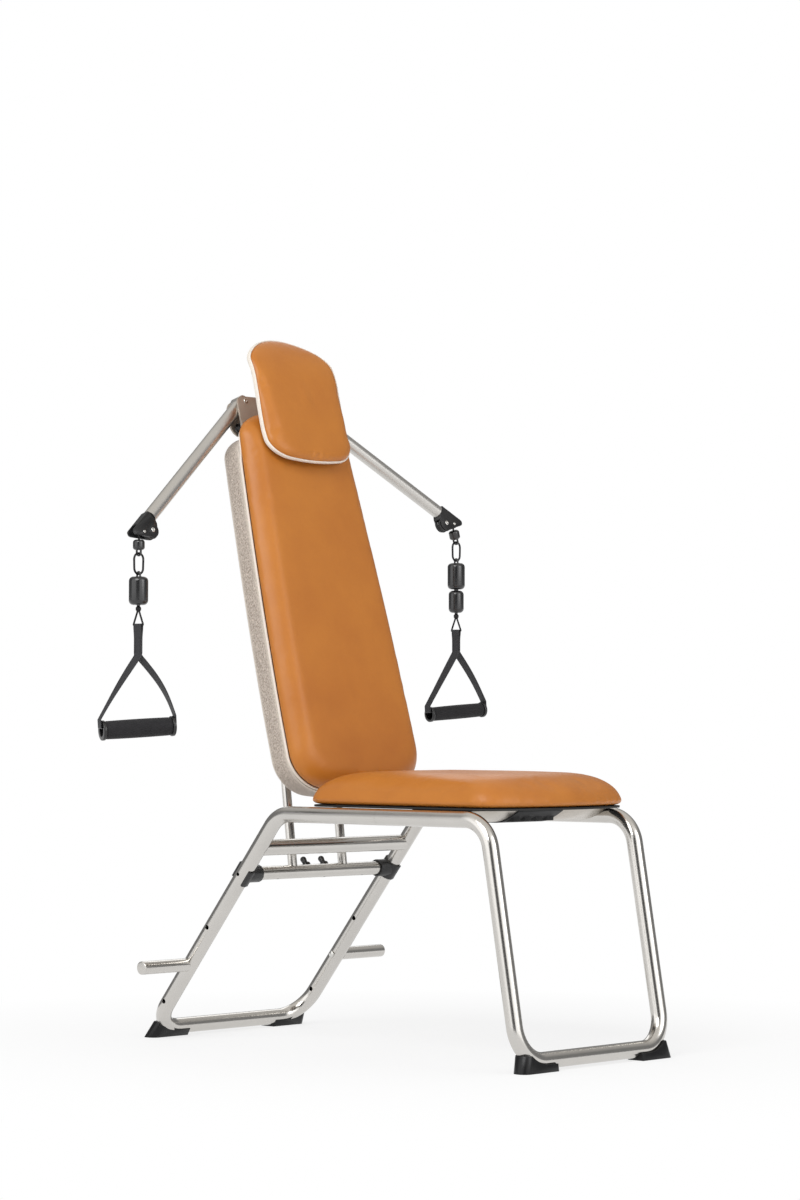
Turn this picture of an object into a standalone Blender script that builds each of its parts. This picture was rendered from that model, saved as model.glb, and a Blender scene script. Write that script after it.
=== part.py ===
"""Fitness chair with a tube frame, a padded seat and back, and two swinging cable arms.

Metres, +Z up. The chair faces -Y, and +X is its occupant's left. The origin lies on the floor
under the middle of the whole chair. Sizes that can be set by themselves are the constants below;
everything that fits, seats or lines up is worked out from them.
"""
import math

import bmesh
import bpy
from mathutils import Matrix, Vector

# Clearances
GAP = 0.0003                 # between pieces that touch
RUNNING_GAP = 0.0005         # round pins and axles, on the radius
CUT_PAST = 0.004             # how far a cutter runs past the face it cuts

# Placing
CENTRE_SHIFT = (-0.0275, -0.0042)    # puts the middle of the chair's whole box on the origin

# Frame
TUBE_RADIUS = 0.015
TUBE_WALL = 0.002
HALF_WIDTH = 0.202           # middle plane to a leg's axis
HALF_DEPTH = 0.466           # middle to a floor tube's axis
RAIL_HEIGHT = 0.438          # seat rail's axis
SOLE_THICKNESS = 0.004       # foot rubber under a floor tube
FRONT_CORNER_Y = -0.3915     # where a front leg's axis meets the rail's
REAR_CORNER_Y = 0.1268       # where a rear leg's axis meets the rail's
RAIL_BEND = 0.060
FLOOR_BEND = 0.062

# Cross tubes, as shares of the rear leg from the rail down
UPPER_CROSS_SHARE = 0.154
LOWER_CROSS_SHARE = 0.274
LOWER_CROSS_RADIUS = 0.013
LOWER_CROSS_WALL = 0.0015
COPE_SHARES = (0.02, 0.98)   # the leg's stretch that copes a cross tube

# Saddles
SADDLE_WALL = 0.0035
SADDLE_LENGTH = 0.034
SADDLE_WRAP = math.radians(115)
SADDLE_CUP_DEPTH = 0.016
SADDLE_HOLE_RADIUS = 0.0035

# Pegs, as shares of the rear leg
PEG_SHARE = 0.697
SPARE_HOLE_SHARES = (0.52, 0.87)
PEG_RADIUS = 0.0125
PEG_REACH = 0.330
PEG_EDGE = 0.0015
PEG_COPE_SHARE = 0.1
PEG_BOLT_RADIUS = 0.004
PEG_BOLT_HEAD = 0.0065
PEG_BOLT_GRIP = 0.030
BOLT_HEAD_HEIGHT = 0.0025

# Feet
FOOT_OUTER = 0.209           # middle plane to the sole's outer end
FOOT_INNER = 0.118
FOOT_HALF_DEPTH = 0.018
FOOT_HEIGHT = 0.031
FOOT_SLANT = 0.009           # how far the nose draws in towards its top
FOOT_NOSE = 0.016            # plan radius of the nose
FOOT_LEDGE = 0.0675          # from the bend's centre out to the foot's hollow top edge
FOOT_LEAN_SHARE = 0.7        # how much of the leg's lean the foot follows

# Posts
POST_RADIUS = 0.009
POST_WALL = 0.0015
POST_HALF_SPACING = 0.069
POST_LEAN = math.radians(7.0)
POST_SPACE = 0.0015          # post to shell at the post's top

# Clamps that hold the back on the posts
CLAMP_LOW = 0.040
CLAMP_HEIGHT = 0.036
CLAMP_HALF_WIDTH = 0.016
CLAMP_PLATE = 0.004
CLAMP_WALL = 0.006
SPINE_HALF_WIDTH = 0.030
POST_TOP_CLEAR = 0.012

# Band anchors
ANCHOR_HALF_SPACING = 0.0245
ANCHOR_RADIUS = 0.006
ANCHOR_LENGTH = 0.020
ANCHOR_WAIST = 0.0050
ANCHOR_COLLAR_RADIUS = 0.0085
ANCHOR_COLLAR_HEIGHT = 0.003
ANCHOR_TILT = math.radians(38)

# Seat
SEAT_HALF_WIDTH = 0.205
SEAT_FRONT_Y = -0.431
SEAT_REAR_Y = 0.074
CROWN_RISE = 0.003           # how far a cushion's middle stands over its shoulder
SEAT_FRONT_CORNER = 0.050
SEAT_REAR_CORNER = 0.035
SEAT_FRONT_CROWN = 0.022
SEAT_REAR_CROWN = 0.005
SEAT_THICKNESS = 0.067
SEAT_WIDEST = 0.016
SEAT_SHOULDER = 0.098
SEAT_UNDERCUT = 0.005
BOARD_THICKNESS = 0.004
BOARD_INSET = 0.009

# Seat carrier: two curved sheets and the rubber mat between them
SHEET_THICKNESS = 0.002
SHEET_DROP = 0.021           # board to the sheet's flat
SHEET_FRONT_Y = -0.345
SHEET_REAR_Y = -0.060
SHEET_LIP_RUN = 0.055
SHEET_INNER_X = 0.064
MAT_HALF_WIDTH = 0.062
MAT_THICKNESS = 0.004
MAT_BLOCKS = 4
MAT_ROWS = 4
MAT_BLOCK_SHARE = 0.6        # of a column's width
MAT_BLOCK_START = 0.25       # of a row's run, as the next one
MAT_BLOCK_RUN = 0.5
MAT_SLOT_SHARE = 0.45
MAT_SLOT_HALF = 0.005

# Back, measured in its own leaning frame: y is depth behind the seam, z runs up the back
BACK_LEAN = math.radians(15.24)
BACK_SEAM_Y = 0.1306
BACK_SEAM_Z = 0.519
BACK_BOTTOM = -0.0466
BACK_TOP = 0.7203
BACK_WIDEST_Z = 0.080
BACK_WIDEST = 0.1715
BACK_TOP_WIDTH = 0.139
BACK_TAPER_POWER = 1.6
BACK_BOTTOM_CORNER = (0.070, 0.072)
BACK_TOP_CORNER = (0.060, 0.050)
BACK_BOTTOM_CROWN = 0.006
BACK_TOP_CROWN = 0.008
PAD_THICKNESS = 0.045
PAD_TOP_THICKNESS = 0.040
PAD_BULGE = 0.003
PAD_WIDEST = 0.014
PAD_SHOULDER = 0.040
PAD_CROWN = 0.002
PAD_SEAM_DEPTHS = (0.004, 0.009)     # where the pad turns in to the piping
PIPING_RADIUS = 0.0025
PIPING_SEAT = 0.0048

# Shell and board behind the seam
SHELL_TOP = 0.693
SHELL_BOTTOM = -0.052
NOTCH_SPACE = 0.020          # shell's opening to the arm bracket's rear plate, below it
SHELL_DEPTH = 0.056
SHELL_WALL = 0.004
SHELL_FLARE = 0.006
SHELL_EDGE = 0.018
SHELL_RIM = 0.010            # depth of the shell's straight rim
BACK_BOARD_THICKNESS = 0.006

# Headrest
HEADREST_HALF_WIDTH = 0.115
HEADREST_BOTTOM = 0.600
HEADREST_TOP = 0.869
HEADREST_BOTTOM_CORNER = (0.046, 0.046)
HEADREST_TOP_CORNER = (0.056, 0.060)
HEADREST_BOTTOM_CROWN = 0.005
HEADREST_TOP_CROWN = 0.012
HEADREST_STATIONS = ((0.600, -0.057), (0.630, -0.047), (0.662, -0.0414), (0.705, -0.0416),
                     (0.745, -0.0434), (0.790, -0.0430), (0.835, -0.0310), (0.869, -0.0100))
HEADREST_THICK = 0.029
HEADREST_THIN = 0.017
HEADREST_THICK_Z = 0.672
HEADREST_THICK_SPAN = 0.130
HEADREST_PIPING_RADIUS = 0.002
HEADREST_PIPING_FORWARD = 0.0009
HEADREST_REAR_INSETS = (0.085, 0.055)
HEADREST_LEVELS = ((0.0, 0.0045), (0.15, 0.002), (0.33, 0.0), (0.6, 0.003), (0.82, 0.012),
                   (0.95, 0.028), (1.0, 0.055))   # shares of the thickness, and insets
HEADREST_CROWN = 0.001

# Arm bracket
BRACKET_PLATE = 0.004
BRACKET_HALF_WIDTH = 0.115
BRACKET_TOP = 0.7536
BRACKET_FRONT_BOTTOM = 0.620
BRACKET_REAR_BOTTOM = 0.680
BRACKET_CORNER = 0.015
BRACKET_REAR_CORNER = 0.024
BRACKET_WEB_HALF_WIDTH = 0.066
BRACKET_WEB_Z = 0.6925
PIVOT_X = 0.092
PIVOT_Z = 0.7444
PIVOT_PIN = 0.004

# Headrest mount
MOUNT_HALF_WIDTH = 0.030
MOUNT_THICKNESS = 0.003
MOUNT_TOP = 0.780
MOUNT_OVER_PAD = 0.0035      # how far the strip passes over the back's top
MOUNT_FLANGE_TOP = 0.750

# Arms
ARM_RADIUS = 0.013
ARM_WALL = 0.0015
ARM_LENGTH = 0.388
ARM_SPIGOT = 0.014           # how far a head's plug runs into the tube
ARM_BOSS = 0.0135
ARM_ROOT = 0.030
ARM_ROOT_EDGE = 0.008        # how far past the tube's end the head's bulge begins
HEAD_HALF_THICKNESS = 0.0095
HEAD_CHEEK = 0.003
HEAD_ROOT_FLARE = 0.018      # over this length the head grows from the tube's round
NOSE_AHEAD = 0.0575          # these four are measured from the tube's end
NOSE_ACROSS = -0.0064
NOSE_RADIUS = 0.0066
MOUTH_AHEAD = 0.041          # from here on the head's outer side is open
SHEAVE_AHEAD = 0.0225
SHEAVE_ACROSS = 0.0175
SHEAVE_RADIUS = 0.0163
SHEAVE_CHEEK = 0.0147
ROLLER_AHEAD = 0.043
ROLLER_ACROSS = 0.0065
ROLLER_RADIUS = 0.0042
GROOVE_DEPTH = 0.003
ROLLER_GROOVE = 0.001
GROOVE_TOP_SHARE = 0.6       # of a wheel's half width
GROOVE_FLOOR_SHARE = 0.3
SHEAVE_SPACE = 0.001
SLOT_START = 0.008
CORD_PASSAGE = 0.0095
SHEAVE_PIN = 0.003
ROLLER_PIN = 0.0016
SHEAVE_PIN_CAP = 0.0046
ROLLER_PIN_CAP = 0.0034
PIN_CAP_HEIGHT = 0.0012

# Bracket pulleys
PULLEY_X = 0.098
PULLEY_Z = 0.6944
PULLEY_RADIUS = 0.011
PULLEY_WIDTH = 0.018
PULLEY_AXLE = 0.002

# Elastic cords in the shell
ELASTIC_RADIUS = 0.005
ELASTIC_DEPTH = 0.024
ELASTIC_BOTTOM = 0.040
ELASTIC_BAR = 0.016

# Pull cord, ferrule and link
CORD_RADIUS = 0.0018
FERRULE_RADIUS = 0.011
FERRULE_LENGTH = 0.0195
FERRULE_EDGE = 0.0015
EYE_WIRE = 0.002
EYE_HALF_WIDTH = 0.0055
EYE_LEG = 0.0045              # leaves the link room to swing under the ferrule
EYE_SINK = 0.001             # how far an eye's ends run into what carries it
LINK_WIRE = 0.002
LINK_WIDTH = 0.027
LINK_HEIGHT = 0.043

# Barrels, swivel and ring
BARREL_EYE_WIRE = 0.0018
BARREL_EDGE = 0.0085
BARREL_NECK = 0.0045
BARREL_SPACE = 0.0025
SWIVEL_RADIUS = 0.0052
SWIVEL_WAIST = 0.0032
SWIVEL_HEIGHT = 0.0125
SWIVEL_LEVELS = (0.003, 0.0045, 0.009)       # where the waist ends, the ball begins and ends
RING_WIRE = 0.0018
RING_HEIGHT = 0.029
RING_HALF_WIDTH = 0.0121
RING_NECK = 0.0016
RING_CORNER = 0.003

# Handles
STRAP_HALF_WIDTH = 0.0095
STRAP_THICKNESS = 0.0014
LEG_NARROWING = {-1: 0.05, 1: 0.10}  # where each leg leaves the doubled strap
LEG_OVERLAP = 0.008          # how far a leg runs into the doubled strap
LEG_SHARES = (0.12, 0.34, 0.58, 0.80)
LEG_ROOT_SHARES = (0.3, 0.9)  # of the strap's half thickness: inside the doubled part, at its end
LEG_STAND_OFF = 0.0015
LEG_TURN = 0.002
LEG_INSIDE = 0.016           # how far a leg runs into the grip's bore
CORE_RADIUS = 0.0120
CORE_BORE = 0.0110
CORE_FLANGE = 0.006
FOAM_EDGE = 0.001
FLANGE_LIP = 0.0012
RING_YAW = math.radians(-82)

# What differs between the occupant's right (side -1) and left (side +1)
SIDES = {
    "right": {"side": -1, "arm": 50.2, "tilt": 0.0, "stub": 0.0122, "barrels": ((0.018, 0.053),),
              "strap": 0.0566, "drop": 0.134, "yaw": -23.4, "grip_tilt": 3.5, "bow": (0.03, 0.13),
              "length": 0.142, "foam": 0.0175, "flange": 0.0188},
    "left": {"side": 1, "arm": 59.7, "tilt": 17.0, "stub": 0.0122,
             "barrels": ((0.0178, 0.0545), (0.0155, 0.046)),
             "strap": 0.0435, "drop": 0.123, "yaw": -9.9, "grip_tilt": 4.3, "bow": (0.0, 0.06),
             "length": 0.142, "foam": 0.0145, "flange": 0.0157},
}

# Mesh fineness
TUBE_SIDES = 14
FINE_SIDES = 14
SMALL_SIDES = 8
TURN_STEPS = 12
TUBE_BEVEL_RESOLUTION = 4
BORE_BEVEL_RESOLUTION = 2
BEND_STEPS = 5
EDGE_STEPS = 3
ARC_STEPS = 4
SIDE_STEPS = 5
FOOT_STEPS = 5
LIP_STEPS = 8
NOSE_STEPS = 6
CHEEK_STEPS = 9
WIRE_STEPS = 6
LOOP_STEPS = 12
SMOOTH_ANGLE = math.radians(35)
MERGE_DISTANCE = 0.00001

# Derived from the values above
FLOOR_HEIGHT = SOLE_THICKNESS + TUBE_RADIUS
SEAT_BOTTOM = RAIL_HEIGHT + TUBE_RADIUS + GAP
LEG_TOP = Vector((0, REAR_CORNER_Y, RAIL_HEIGHT))
LEG_FOOT = Vector((0, HALF_DEPTH, FLOOR_HEIGHT))
BRACKET_FRONT = BACK_BOARD_THICKNESS + GAP
ARM_DEPTH = BRACKET_FRONT + BRACKET_PLATE + GAP + ARM_RADIUS
BRACKET_REAR = ARM_DEPTH + ARM_RADIUS + GAP
SHELL_NOTCH = BRACKET_REAR_BOTTOM - NOTCH_SPACE
NOSE_ALONG = ARM_LENGTH + NOSE_AHEAD
MOUTH_START = ARM_LENGTH + MOUTH_AHEAD
SHEAVE_ALONG = ARM_LENGTH + SHEAVE_AHEAD
ROLLER_ALONG = ARM_LENGTH + ROLLER_AHEAD
CORD_OFFSET = ROLLER_RADIUS - ROLLER_GROOVE + CORD_RADIUS


# Scene and objects

def clear_scene():
    for item in list(bpy.data.objects):
        bpy.data.objects.remove(item, do_unlink=True)


def new_collection(name):
    collection = bpy.data.collections.new(name)
    bpy.context.scene.collection.children.link(collection)
    return collection


def new_material(name, colour, roughness, metallic=0.0):
    material = bpy.data.materials.new(name)
    material.use_nodes = True
    shader = material.node_tree.nodes["Principled BSDF"]
    shader.inputs["Base Color"].default_value = (*colour, 1.0)
    shader.inputs["Roughness"].default_value = roughness
    shader.inputs["Metallic"].default_value = metallic
    return material


def new_empty(name, parent=None, matrix=Matrix()):
    empty = bpy.data.objects.new(name, None)
    empty.empty_display_size = 0.02
    PARTS.objects.link(empty)
    empty.parent = parent
    empty.matrix_local = matrix
    return empty


def place(item, parent, matrix=Matrix(), material=None):
    PARTS.objects.link(item)
    item.parent = parent
    item.matrix_local = matrix
    if material:
        item.data.materials.append(material)
    return item


def make_cutter(item):
    """Moves an object to the cutters' collection, where it only shapes other pieces."""
    PARTS.objects.unlink(item)
    CUTTERS.objects.link(item)
    item.hide_render = True
    item.display_type = "WIRE"
    return item


def add_boolean(item, tool, operation):
    modifier = item.modifiers.new(operation.title(), "BOOLEAN")
    modifier.operation = operation
    modifier.object = tool
    modifier.solver = "EXACT"


def cut(item, *tools):
    for tool in tools:
        add_boolean(item, make_cutter(tool), "DIFFERENCE")
    return item


def join(item, *tools):
    for tool in tools:
        add_boolean(item, make_cutter(tool), "UNION")
    return item


def smooth(mesh):
    mesh.shade_smooth()
    mesh.set_sharp_from_angle(angle=SMOOTH_ANGLE)


def mesh_object(name, bm, parent, matrix=Matrix(), material=None):
    mesh = bpy.data.meshes.new(name)
    bmesh.ops.recalc_face_normals(bm, faces=bm.faces)
    bm.to_mesh(mesh)
    bm.free()
    smooth(mesh)
    return place(bpy.data.objects.new(name, mesh), parent, matrix, material)


def settle(curve_object, material=None):
    """Turns a curve object into a mesh with welded caps, at the same place under its parent."""
    bpy.context.view_layer.update()
    depsgraph = bpy.context.evaluated_depsgraph_get()
    mesh = bpy.data.meshes.new_from_object(curve_object.evaluated_get(depsgraph))
    bm = bmesh.new()
    bm.from_mesh(mesh)
    bmesh.ops.remove_doubles(bm, verts=bm.verts, dist=MERGE_DISTANCE)
    bmesh.ops.recalc_face_normals(bm, faces=bm.faces)
    bm.to_mesh(mesh)
    bm.free()
    smooth(mesh)
    name = curve_object.name
    parent = curve_object.parent
    world = curve_object.matrix_world.copy()
    bpy.data.objects.remove(curve_object, do_unlink=True)
    item = bpy.data.objects.new(name, mesh)
    PARTS.objects.link(item)
    item.parent = parent
    item.matrix_world = world
    if material:
        mesh.materials.clear()
        mesh.materials.append(material)
    return item


# Shapes

def along(start, end):
    """A frame in the middle of start and end whose Z runs from one to the other."""
    start = Vector(start)
    end = Vector(end)
    turn = Vector((0, 0, 1)).rotation_difference(end - start)
    return Matrix.Translation((start + end) / 2) @ turn.to_matrix().to_4x4()


def rod(name, radius, start, end, parent, material=None, sides=TUBE_SIDES):
    bm = bmesh.new()
    length = (Vector(end) - Vector(start)).length
    bmesh.ops.create_cone(bm, cap_ends=True, segments=sides, radius1=radius, radius2=radius,
                          depth=length)
    return mesh_object(name, bm, parent, along(start, end), material)


def drill(name, radius, start, end, parent, sides=FINE_SIDES):
    """A rod for cutting round holes: its flats, not its edges, lie on the radius."""
    return rod(name, radius / math.cos(math.pi / sides), start, end, parent, sides=sides)


def box(name, low, high, parent, material=None, bevel=0.0, matrix=Matrix()):
    low = Vector(low)
    high = Vector(high)
    bm = bmesh.new()
    bmesh.ops.create_cube(bm, size=1.0)
    bmesh.ops.scale(bm, vec=high - low, verts=bm.verts)
    if bevel:
        bmesh.ops.bevel(bm, geom=bm.edges, offset=bevel, segments=2, profile=0.5, affect="EDGES")
    centre = Matrix.Translation((low + high) / 2)
    return mesh_object(name, bm, parent, matrix @ centre, material)


def turned(name, profile, parent, matrix=Matrix(), material=None, steps=TURN_STEPS, ring=False):
    """A profile of (radius, z) points, outer side downwards, turned round its own Z."""
    mesh = bpy.data.meshes.new(name)
    edges = [(i, i + 1) for i in range(len(profile) - 1)]
    if ring:
        edges.append((len(profile) - 1, 0))
    mesh.from_pydata([(radius, 0, z) for radius, z in profile], edges, [])
    item = place(bpy.data.objects.new(name, mesh), parent, matrix, material)
    screw = item.modifiers.new("Turn", "SCREW")
    screw.steps = steps
    screw.render_steps = steps
    screw.use_merge_vertices = True
    screw.merge_threshold = MERGE_DISTANCE
    screw.use_smooth_shade = True
    return item


def wire(name, points, radius, parent, material=None, resolution=2, closed=False, matrix=Matrix()):
    curve = bpy.data.curves.new(name, "CURVE")
    curve.dimensions = "3D"
    curve.bevel_depth = radius
    curve.bevel_resolution = resolution
    curve.use_fill_caps = True
    spline = curve.splines.new("POLY")
    spline.points.add(len(points) - 1)
    for spot, point in zip(spline.points, points):
        spot.co = (*point, 1.0)
    spline.use_cyclic_u = closed
    return place(bpy.data.objects.new(name, curve), parent, matrix, material)


def plate(name, outlines, thickness, parent, matrix=Matrix(), material=None):
    """Flat outlines, the later ones holes in the first, filled and given a thickness."""
    curve = bpy.data.curves.new(name, "CURVE")
    curve.dimensions = "2D"
    curve.fill_mode = "BOTH"
    curve.extrude = thickness / 2
    for outline in outlines:
        spline = curve.splines.new("POLY")
        spline.points.add(len(outline) - 1)
        for spot, point in zip(spline.points, outline):
            spot.co = (point[0], point[1], 0, 1.0)
        spline.use_cyclic_u = True
    return place(bpy.data.objects.new(name, curve), parent, matrix, material)


def loft(name, rings, parent, material, matrix=Matrix(), tips=None):
    """A skin through rings of equal counts. Tips are the points that close its two ends."""
    bm = bmesh.new()
    rows = [[bm.verts.new(point) for point in ring] for ring in rings]
    count = len(rows[0])
    for lower, upper in zip(rows, rows[1:]):
        for i in range(count):
            j = (i + 1) % count
            bm.faces.new((lower[i], lower[j], upper[j], upper[i]))
    if tips:
        for row, tip in ((rows[0], tips[0]), (rows[-1], tips[1])):
            if tip is None:
                continue
            peak = bm.verts.new(tip)
            for i in range(count):
                bm.faces.new((row[i], row[(i + 1) % count], peak))
    return mesh_object(name, bm, parent, matrix, material)


def arc(centre, radius, start, end, steps):
    """Points on an arc in a plane, angles in radians."""
    points = []
    for i in range(steps + 1):
        angle = start + (end - start) * i / steps
        points.append((centre[0] + radius * math.cos(angle), centre[1] + radius * math.sin(angle)))
    return points


def rounded_path(corners, radii, steps=BEND_STEPS):
    """A route through corners, each corner turned into an arc of its radius."""
    corners = [Vector(corner) for corner in corners]
    points = [corners[0]]
    for i in range(1, len(corners) - 1):
        before = (corners[i - 1] - corners[i]).normalized()
        after = (corners[i + 1] - corners[i]).normalized()
        half = before.angle(after) / 2
        reach = radii[i] / math.tan(half)
        middle = corners[i] + (before + after).normalized() * radii[i] / math.sin(half)
        start = corners[i] + before * reach - middle
        end = corners[i] + after * reach - middle
        sweep = start.angle(end)
        for k in range(steps + 1):
            share = k / steps
            spoke = start * math.sin((1 - share) * sweep) + end * math.sin(share * sweep)
            points.append(middle + spoke / math.sin(sweep))
    points.append(corners[-1])
    return points


def rounded_rectangle(low_x, high_x, low_y, high_y, radius, steps=4):
    quarter = math.pi / 2
    points = []
    spots = ((high_x - radius, high_y - radius), (low_x + radius, high_y - radius),
             (low_x + radius, low_y + radius), (high_x - radius, low_y + radius))
    for k, spot in enumerate(spots):
        points += arc(spot, radius, quarter * k, quarter * (k + 1), steps)
    return points


def soft_end(side, tip, corner, crown, inward):
    """Half an outline's end, from its middle to its side. The end bows as the square of x, and a
    conic carries its slope round the corner to the side's own slope. Inward is 1 at the low end
    and -1 at the high one."""
    flat = side(tip + inward * corner[1]) - corner[0]
    points = []
    for i in range(EDGE_STEPS):
        share = i / EDGE_STEPS
        points.append(Vector((flat * share, tip + inward * crown * share ** 2)))
    first = Vector((flat, tip + inward * crown))
    lift = crown + 2 * crown / flat * corner[0]
    bend = Vector((side(tip + inward * lift), tip + inward * lift))
    last = Vector((side(tip + inward * corner[1]), tip + inward * corner[1]))
    for i in range(ARC_STEPS + 1):
        t = i / ARC_STEPS
        weights = ((1 - t) ** 2, math.sqrt(2) * t * (1 - t), t ** 2)
        total = first * weights[0] + bend * weights[1] + last * weights[2]
        points.append(total / sum(weights))
    return [tuple(point) for point in points]


def soft_outline(side, low, high, low_corner, high_corner, low_crown, high_crown):
    """A closed outline that is symmetric in x. side(v) is its half width at height v; each corner
    is a (width, height), and the crowns bow its two ends outwards."""
    half = soft_end(side, low, low_corner, low_crown, 1)
    start = low + low_corner[1]
    end = high - high_corner[1]
    for i in range(1, SIDE_STEPS):
        v = start + (end - start) * i / SIDE_STEPS
        half.append((side(v), v))
    half += reversed(soft_end(side, high, high_corner, high_crown, -1))
    return half + [(-x, v) for x, v in reversed(half[1:-1])]


def inset(outline, amount):
    """The outline drawn in by an amount at its sides and its ends."""
    half_width = max(x for x, _ in outline)
    low = min(v for _, v in outline)
    high = max(v for _, v in outline)
    middle = (low + high) / 2
    across = 1 - amount / half_width
    upwards = 1 - amount / ((high - low) / 2)
    return [(x * across, middle + (v - middle) * upwards) for x, v in outline]


def shoulder(depth_start, depth_end, inset_start, inset_end, steps=4):
    """Pairs of (depth, inset) on a quarter ellipse, for a cushion's rounded shoulder."""
    pairs = []
    for i in range(1, steps + 1):
        angle = math.pi / 2 * i / steps
        pairs.append((depth_start + (depth_end - depth_start) * math.sin(angle),
                      inset_start + (inset_end - inset_start) * (1 - math.cos(angle))))
    return pairs


# Frame

def leg_point(share, side=0):
    point = LEG_TOP.lerp(LEG_FOOT, share)
    point.x = side * HALF_WIDTH
    return point


def frame_route(corner_y, floor_y, split_y):
    corners = [(-HALF_WIDTH, split_y, RAIL_HEIGHT), (-HALF_WIDTH, corner_y, RAIL_HEIGHT),
               (-HALF_WIDTH, floor_y, FLOOR_HEIGHT), (HALF_WIDTH, floor_y, FLOOR_HEIGHT),
               (HALF_WIDTH, corner_y, RAIL_HEIGHT), (HALF_WIDTH, split_y, RAIL_HEIGHT)]
    return rounded_path(corners, (0, RAIL_BEND, FLOOR_BEND, FLOOR_BEND, RAIL_BEND, 0))


def longer(points, extra):
    first = points[0] + (points[0] - points[1]).normalized() * extra
    last = points[-1] + (points[-1] - points[-2]).normalized() * extra
    return [first] + points[1:-1] + [last]


def leg_holes(name, share, radius):
    """Drills across both rear legs."""
    drills = []
    for side in (-1, 1):
        centre = leg_point(share, side)
        reach = Vector((TUBE_RADIUS + CUT_PAST, 0, 0))
        drills.append(drill(f"{name}_{side}", radius, centre - reach, centre + reach, ROOT,
                            SMALL_SIDES))
    return drills


def leg_cutters(name):
    """The straight part of both rear legs, with the gap, for coping what meets them."""
    low, high = COPE_SHARES
    return [drill(f"{name}_{side}", TUBE_RADIUS + GAP, leg_point(low, side),
                  leg_point(high, side), ROOT) for side in (-1, 1)]


def make_frame():
    split_y = (FRONT_CORNER_Y + REAR_CORNER_Y) / 2
    loops = (("front_loop", FRONT_CORNER_Y, -HALF_DEPTH, split_y - GAP / 2),
             ("rear_loop", REAR_CORNER_Y, HALF_DEPTH, split_y + GAP / 2))
    made = []
    for name, corner_y, floor_y, end_y in loops:
        route = frame_route(corner_y, floor_y, end_y)
        loop = settle(wire(name, route, TUBE_RADIUS, ROOT, STEEL, TUBE_BEVEL_RESOLUTION), STEEL)
        bore = settle(wire(f"{name}_bore", longer(route, CUT_PAST), TUBE_RADIUS - TUBE_WALL, ROOT,
                           None, BORE_BEVEL_RESOLUTION))
        made.append(cut(loop, bore))
    for share in (PEG_SHARE, *SPARE_HOLE_SHARES):
        cut(made[1], *leg_holes(f"hole_{share}", share, PEG_BOLT_RADIUS + RUNNING_GAP))
    cut(made[1], *leg_holes("saddle_hole", LOWER_CROSS_SHARE, SADDLE_HOLE_RADIUS))


def make_cross_tubes():
    upper = leg_point(UPPER_CROSS_SHARE)
    end = Vector((HALF_WIDTH, 0, 0))
    past = Vector((CUT_PAST, 0, 0))
    tube = rod("upper_cross_tube", TUBE_RADIUS, upper - end, upper + end, ROOT, STEEL)
    bore = rod("upper_cross_bore", TUBE_RADIUS - TUBE_WALL, upper - end - past, upper + end + past,
               ROOT)
    cut(tube, bore, *leg_cutters("upper_cope"))
    lower = leg_point(LOWER_CROSS_SHARE)
    end = Vector((HALF_WIDTH - TUBE_RADIUS - 2 * SADDLE_WALL - GAP, 0, 0))
    tube = rod("lower_cross_tube", LOWER_CROSS_RADIUS, lower - end, lower + end, ROOT, STEEL)
    bore = rod("lower_cross_bore", LOWER_CROSS_RADIUS - LOWER_CROSS_WALL, lower - end - past,
               lower + end + past, ROOT)
    cut(tube, bore)
    return end.x


def make_saddles(tube_end):
    """Each saddle clips round a leg's inner side and takes the cross tube's end in a cup."""
    leg = (LEG_FOOT - LEG_TOP).normalized()
    outer = TUBE_RADIUS + SADDLE_WALL
    cup_radius = LOWER_CROSS_RADIUS + GAP + SADDLE_WALL
    for side, name in ((-1, "saddle_right"), (1, "saddle_left")):
        centre = leg_point(LOWER_CROSS_SHARE, side)
        inward = Vector((-side, 0, 0))
        sleeve = rod(name, outer, centre - leg * SADDLE_LENGTH / 2, centre + leg * SADDLE_LENGTH / 2,
                     ROOT, PLASTIC, sides=FINE_SIDES)
        mouth = Vector((side * (tube_end - SADDLE_CUP_DEPTH), centre.y, centre.z))
        cup = rod(f"{name}_cup", cup_radius, centre, mouth, ROOT, sides=FINE_SIDES)
        join(sleeve, cup)
        seat = Vector((side * (tube_end + GAP), centre.y, centre.z))
        socket = drill(f"{name}_socket", LOWER_CROSS_RADIUS + GAP, mouth + inward * CUT_PAST,
                       seat, ROOT)
        leg_bore = drill(f"{name}_bore", TUBE_RADIUS + GAP, centre - leg * SADDLE_LENGTH,
                         centre + leg * SADDLE_LENGTH, ROOT)
        open_x = HALF_WIDTH - outer * math.cos(SADDLE_WRAP)
        spread = outer + CUT_PAST
        low = (min(side * open_x, side * (open_x + spread)), centre.y - 2 * spread,
               centre.z - 2 * spread)
        high = (max(side * open_x, side * (open_x + spread)), centre.y + 2 * spread,
                centre.z + 2 * spread)
        cut(sleeve, socket, leg_bore, box(f"{name}_opening", low, high, ROOT))


def make_peg_bolts():
    """The peg bolts go in from inside the legs, through them and into the pegs."""
    for side, name in ((-1, "peg_bolt_right"), (1, "peg_bolt_left")):
        centre = leg_point(PEG_SHARE, side)
        outward = Vector((side, 0, 0))
        face = centre - outward * (TUBE_RADIUS + GAP)
        tip = centre + outward * (TUBE_RADIUS + PEG_BOLT_GRIP)
        shank = rod(name, PEG_BOLT_RADIUS, face - outward * BOLT_HEAD_HEIGHT / 2, tip, ROOT, STEEL,
                    sides=SMALL_SIDES)
        head = rod(f"{name}_head", PEG_BOLT_HEAD, face - outward * BOLT_HEAD_HEIGHT, face, ROOT,
                   sides=SMALL_SIDES)
        join(shank, head)


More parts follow.
